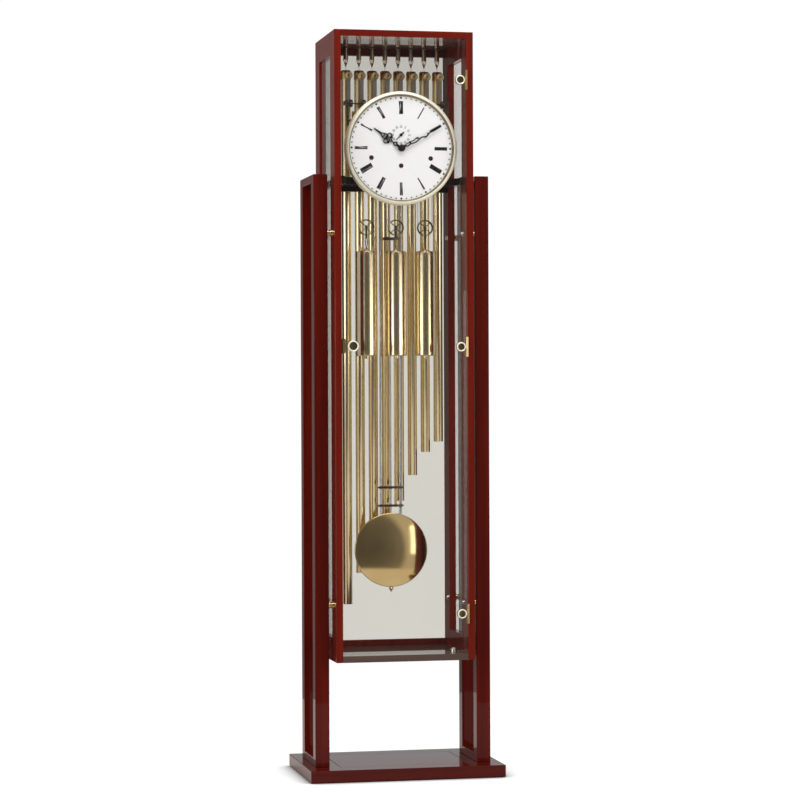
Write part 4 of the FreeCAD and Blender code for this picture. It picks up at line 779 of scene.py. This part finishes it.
def winding_sockets():
    """A black cup round each winding square, and a black washer on the square: painted shade that makes the
    winding holes read dark round the arbor tips.
    """
    bm = bmesh.new()
    for side in SIDES:
        centre = middle(side + "_drum")
        cup = scaled([(5.9, 0.6), (6.4, -0.3), (6.6, -0.3), (6.7, 0), (5.95, 2), (5.95, 21), (3.7, 21),
                      (3.7, 20.6), (5.5, 20.6), (5.5, 0.6)])
        lathe(bm, cup, (centre.x, DIAL_Y, centre.z), "Y", 40)
    piece("winding_cups", bm, "black", ROOT)
    for side in SIDES:
        centre = middle(side + "_drum")
        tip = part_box(side + "_drum")[0].y
        bm = bmesh.new()
        # The black washer is painted shade over the arbor's end.
        washer = scaled([(1.5, -0.15), (4.4, -0.15), (4.9, 0.2), (4.9, 1.0), (1.5, 1.0)])
        lathe(bm, washer, (centre.x, tip, centre.z), "Y", 32)
        piece(side + "_arbor_washer", bm, "black", side + "_winding_drum")


# Rings and dished faces of the door's hinges and knob, and cap nuts inside the case

def door_fittings():
    """A raised bright ring round a dark dished middle, on each clamp disc and on the knob."""
    disc_x = 157 * MM
    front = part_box("door_pane")[0].y
    places = [("hinge_high", disc_x, 1909 * MM, 13.0, 3.0), ("hinge_middle", disc_x, 1178 * MM, 13.0, 3.0),
              ("hinge_low", disc_x, 447 * MM, 13.0, 3.0), ("knob", -144 * MM, 1180 * MM, 15.0, 4.5)]
    for name, x, z, radius, depth in places:
        face = front - depth * MM
        inner = radius - 3.6
        ring = scaled([(inner, 0.0), (inner, -0.3), (inner + 0.5, -0.9), (inner + 1.5, -1.2),
                       (inner + 2.6, -0.8), (radius - 0.3, 0.3), (radius, 1.2), (radius + 0.05, 1.6)])
        bm = bmesh.new()
        lathe(bm, ring, (x, face, z), "Y", 56)
        piece(name + "_ring", bm, "bezel_brass", "door")
        dish = scaled([(0, -0.05), (inner * 0.3, -0.07), (inner * 0.6, -0.14), (inner * 0.85, -0.26),
                       (inner, -0.4)])
        bm = bmesh.new()
        lathe(bm, dish, (x, face, z), "Y", 56)
        piece(name + "_dish", bm, "dish", "door")


def cap_nuts():
    """Steel cap nuts on the spacer studs, on the inner faces of the case."""
    wall = 174.5 * MM
    nut_height = 7 * MM
    stud_depth = 95 * MM
    nut = scaled([(0, 0), (2.4, 0.1), (4.4, 1.3), (5.2, 3.4), (5.2, 5.4), (7.2, 5.6), (7.4, 6.0),
                  (7.4, 7.0), (0, 7.0)])
    bm = bmesh.new()
    for sign in (-1, 1):
        profile = nut if sign > 0 else [(radius, -height) for radius, height in nut]
        for y in (-stud_depth, stud_depth):
            for z in (474 * MM, 1490 * MM):
                lathe(bm, profile, (sign * (wall - nut_height), y, z), "X", 32)
    piece("spacer_cap_nuts", bm, "bright_steel", ROOT)


# Base inlay and spirit level

def inlay():
    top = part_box("base_plate")[1].z
    half_x, half_y = 180 * MM, 125 * MM
    line = 2.6 * MM
    bm = bmesh.new()
    for sign in (-1, 1):
        slab(bm, (-half_x, sign * (half_y - 1 * MM) - line / 2, top - 0.9 * MM),
             (half_x, sign * (half_y - 1 * MM) + line / 2, top - 0.02 * MM))
        slab(bm, (sign * (half_x - 1 * MM) - line / 2, -half_y + 2 * MM, top - 0.9 * MM),
             (sign * (half_x - 1 * MM) + line / 2, half_y - 2 * MM, top - 0.02 * MM))
    piece("inlay_strips", bm, "inlay", ROOT)


def spirit_level():
    low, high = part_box("spirit_level")
    x, y = (low.x + high.x) / 2, (low.y + high.y) / 2
    bm = bmesh.new()
    ring = scaled([(0, 0), (8.6, 0), (9, 0.5), (9, 7.6), (8.2, 9), (6.6, 9.4), (6.2, 8.8), (6.2, 8), (0, 8)])
    lathe(bm, ring, (x, y, low.z), segments=48)
    piece("level_ring", bm, "bright_steel", ROOT, ["spirit_level"])
    bm = bmesh.new()
    dome = scaled([(0, 8.05), (6.15, 8.05), (6.15, 9.6), (5, 10.8), (3, 11.6), (0, 12)])
    lathe(bm, dome, (x, y, low.z), segments=40)
    piece("level_dome", bm, "acrylic", ROOT, ["spirit_level"])


# Floor, light and camera

def studio_floor():
    """A pale disc that glows softly to the camera, with a painted contact shadow: its glow is dimmed by
    ambient occlusion where the stand meets it.
    """
    bm = bmesh.new()
    bmesh.ops.create_circle(bm, cap_ends=True, segments=96, radius=1.85)
    floor_mesh = mesh_of("floor", bm)
    floor = bpy.data.objects.new("floor", floor_mesh)
    bpy.context.scene.collection.objects.link(floor)
    m = Nodes("studio_floor")
    shader = m.surface(Roughness=0.9)
    field = m.noise(m.place((1, 1, 1)), 0.8, 2.0)
    m.link(m.ramp(field, [(0.3, (0.25, 0.25, 0.25)), (0.7, (0.27, 0.27, 0.27))]), shader.inputs["Base Color"])
    seen = m.add("ShaderNodeLightPath")
    glow = m.ramp(seen.outputs["Is Camera Ray"], [(0.0, (1.0, 0.90, 0.82)), (1.0, (1.0, 1.0, 1.0))])
    m.link(glow, shader.inputs["Emission Color"])
    # Painted contact shadow: the glow is scaled down by ambient occlusion near the stand's foot.
    painted_contact_shadow = m.add("ShaderNodeAmbientOcclusion", Distance=0.16)
    painted_contact_shadow.samples = 24
    soft = m.tree.nodes.new("ShaderNodeMapRange")
    soft.inputs["From Min"].default_value = 0.45
    soft.inputs["From Max"].default_value = 0.96
    m.link(painted_contact_shadow.outputs["AO"], soft.inputs["Value"])
    shaded = m.tree.nodes.new("ShaderNodeMath")
    shaded.operation = "MULTIPLY"
    m.link(soft.outputs["Result"], shaded.inputs[0])
    m.link(m.span(seen.outputs["Is Camera Ray"], 0.40, 0.92), shaded.inputs[1])
    m.link(shaded.outputs["Value"], shader.inputs["Emission Strength"])
    floor_mesh.materials.append(m.material)


def studio_air():
    """White to the camera, and for mirrors a grey room with one bright patch."""
    world = bpy.data.worlds.new("studio_air")
    bpy.context.scene.world = world
    world.use_nodes = True
    tree = world.node_tree
    tree.nodes.clear()
    out = tree.nodes.new("ShaderNodeOutputWorld")
    where = tree.nodes.new("ShaderNodeTexCoord").outputs["Generated"]
    lighter = tree.nodes.new("ShaderNodeMixRGB")
    lighter.blend_type = "LIGHTEN"
    lighter.inputs["Fac"].default_value = 1.0
    tree.links.new(grey_room(tree, where), lighter.inputs["Color1"])
    tree.links.new(bright_patch(tree, where), lighter.inputs["Color2"])
    air = tree.nodes.new("ShaderNodeBackground")
    tree.links.new(lighter.outputs["Color"], air.inputs["Color"])
    plain = tree.nodes.new("ShaderNodeBackground")
    plain.inputs["Color"].default_value = (1.02, 1.02, 1.02, 1)
    path = tree.nodes.new("ShaderNodeLightPath")
    mix = tree.nodes.new("ShaderNodeMixShader")
    tree.links.new(path.outputs["Is Camera Ray"], mix.inputs[0])
    tree.links.new(air.outputs[0], mix.inputs[1])
    tree.links.new(plain.outputs[0], mix.inputs[2])
    tree.links.new(mix.outputs[0], out.inputs["Surface"])


def grey_room(tree, where):
    """Dark straight in front of the clock, a lighter ring round that, grey at the sides, dim behind."""
    spread = tree.nodes.new("ShaderNodeMapRange")
    spread.inputs["From Min"].default_value = -1.0
    tree.links.new(lies_along(tree, where, (-0.12, -0.99, -0.04)), spread.inputs["Value"])
    ramp = tree.nodes.new("ShaderNodeValToRGB")
    stops = [(0.0, 0.18), (0.09, 0.22), (0.16, 0.40), (0.50, 0.46), (0.78, 0.40), (0.85, 0.56), (0.93, 0.56),
             (0.947, 0.18), (1.0, 0.09)]
    while len(ramp.color_ramp.elements) < len(stops):
        ramp.color_ramp.elements.new(0.5)
    for element, (position, level) in zip(ramp.color_ramp.elements, stops):
        element.position = position
        warm = 0.86 if position < 0.1 else 0.95
        element.color = (level, level * warm, level * (warm - 0.04), 1)
    tree.links.new(spread.outputs["Result"], ramp.inputs["Fac"])
    return ramp.outputs["Color"]


def bright_patch(tree, where):
    """A white patch behind the clock, a little to the right and below."""
    patch = tree.nodes.new("ShaderNodeValToRGB")
    for position, level in ((0.94, 0.0), (0.972, 0.42), (0.985, 1.0), (1.0, 1.0)):
        element = patch.color_ramp.elements.new(position)
        element.color = (level, level, level, 1)
    patch.color_ramp.elements.remove(patch.color_ramp.elements[-1])
    tree.links.new(lies_along(tree, where, (0.19, 0.975, -0.10)), patch.inputs["Fac"])
    return patch.outputs["Color"]


def lies_along(tree, where, direction):
    """How far the air lies along a direction, from -1 to 1."""
    aim = tree.nodes.new("ShaderNodeVectorMath")
    aim.operation = "DOT_PRODUCT"
    aim.inputs[1].default_value = Vector(direction).normalized()
    tree.links.new(where, aim.inputs[0])
    return aim.outputs["Value"]


def studio_lamps():
    """Soft boxes left, right and above. The first two light the clock but aren't seen in its brass."""
    for name, place, target, width, height, radiance, mirrored in (
            ("soft_left_high", (-2.8, -1.6, 2.45), (0, 0, 2.45), 2.3, 2.0, 2.45, False),
            ("soft_right_high", (2.15, -2.4, 2.45), (0, 0, 2.45), 1.7, 2.0, 2.35, False),
            ("card_left_high", (-2.8, -1.6, 2.35), (0, 0, 2.35), 2.3, 2.2, 2.8, True),
            ("card_left_low", (-2.8, -1.6, 0.75), (0, 0, 0.75), 2.3, 1.0, 1.7, True),
            ("card_right_high", (2.15, -2.4, 2.35), (0, 0, 2.35), 1.7, 2.2, 2.7, True),
            ("card_right_low", (2.15, -2.4, 0.75), (0, 0, 0.75), 1.7, 1.0, 1.8, True),
            ("soft_top", (0.0, -1.9, 4.2), (0, 0, 1.2), 2.6, 1.8, 4.0, True)):
        light = bpy.data.lights.new(name, "AREA")
        light.shape = "RECTANGLE"
        light.size = width
        light.size_y = height
        light.energy = radiance * math.pi * width * height
        lamp = bpy.data.objects.new(name, light)
        lamp.location = place
        lamp.rotation_euler = (Vector(target) - Vector(place)).to_track_quat("-Z", "Y").to_euler()
        lamp.visible_camera = False
        lamp.visible_glossy = mirrored
        bpy.context.scene.collection.objects.link(lamp)


def camera():
    """The photograph's viewing angle: far off, a little to the left, at half the clock's height."""
    focal_pixels = 2634.0
    frame_pixels = 800.0
    yaw = 0.2077
    pitch = -0.0007
    roll = -0.004
    data = bpy.data.cameras.new("camera")
    data.sensor_width = 36.0
    data.lens = focal_pixels / frame_pixels * data.sensor_width
    data.shift_x = -5.33 / frame_pixels
    data.shift_y = -4.16 / frame_pixels
    data.clip_end = 100
    eye = bpy.data.objects.new("camera", data)
    turn = Matrix.Rotation(-yaw, 4, "Z") @ Matrix.Rotation(math.pi / 2 + pitch, 4, "X")
    turn = turn @ Matrix.Rotation(roll, 4, "Z")
    eye.matrix_world = Matrix.Translation((-1.4802, -7.1719, 1.0493)) @ turn
    bpy.context.scene.collection.objects.link(eye)
    bpy.context.scene.camera = eye
    bpy.context.scene.view_settings.view_transform = "Standard"


keep_cad_shapes()
bells()
hammers()
weights()
pulleys()
cables()
steel_rods()
brass_rods()
cross_bars()
bob()
rating_nut()
bezel()
seconds_figures()
winding_sockets()
door_fittings()
cap_nuts()
inlay()
spirit_level()
studio_floor()
studio_air()
studio_lamps()
camera()
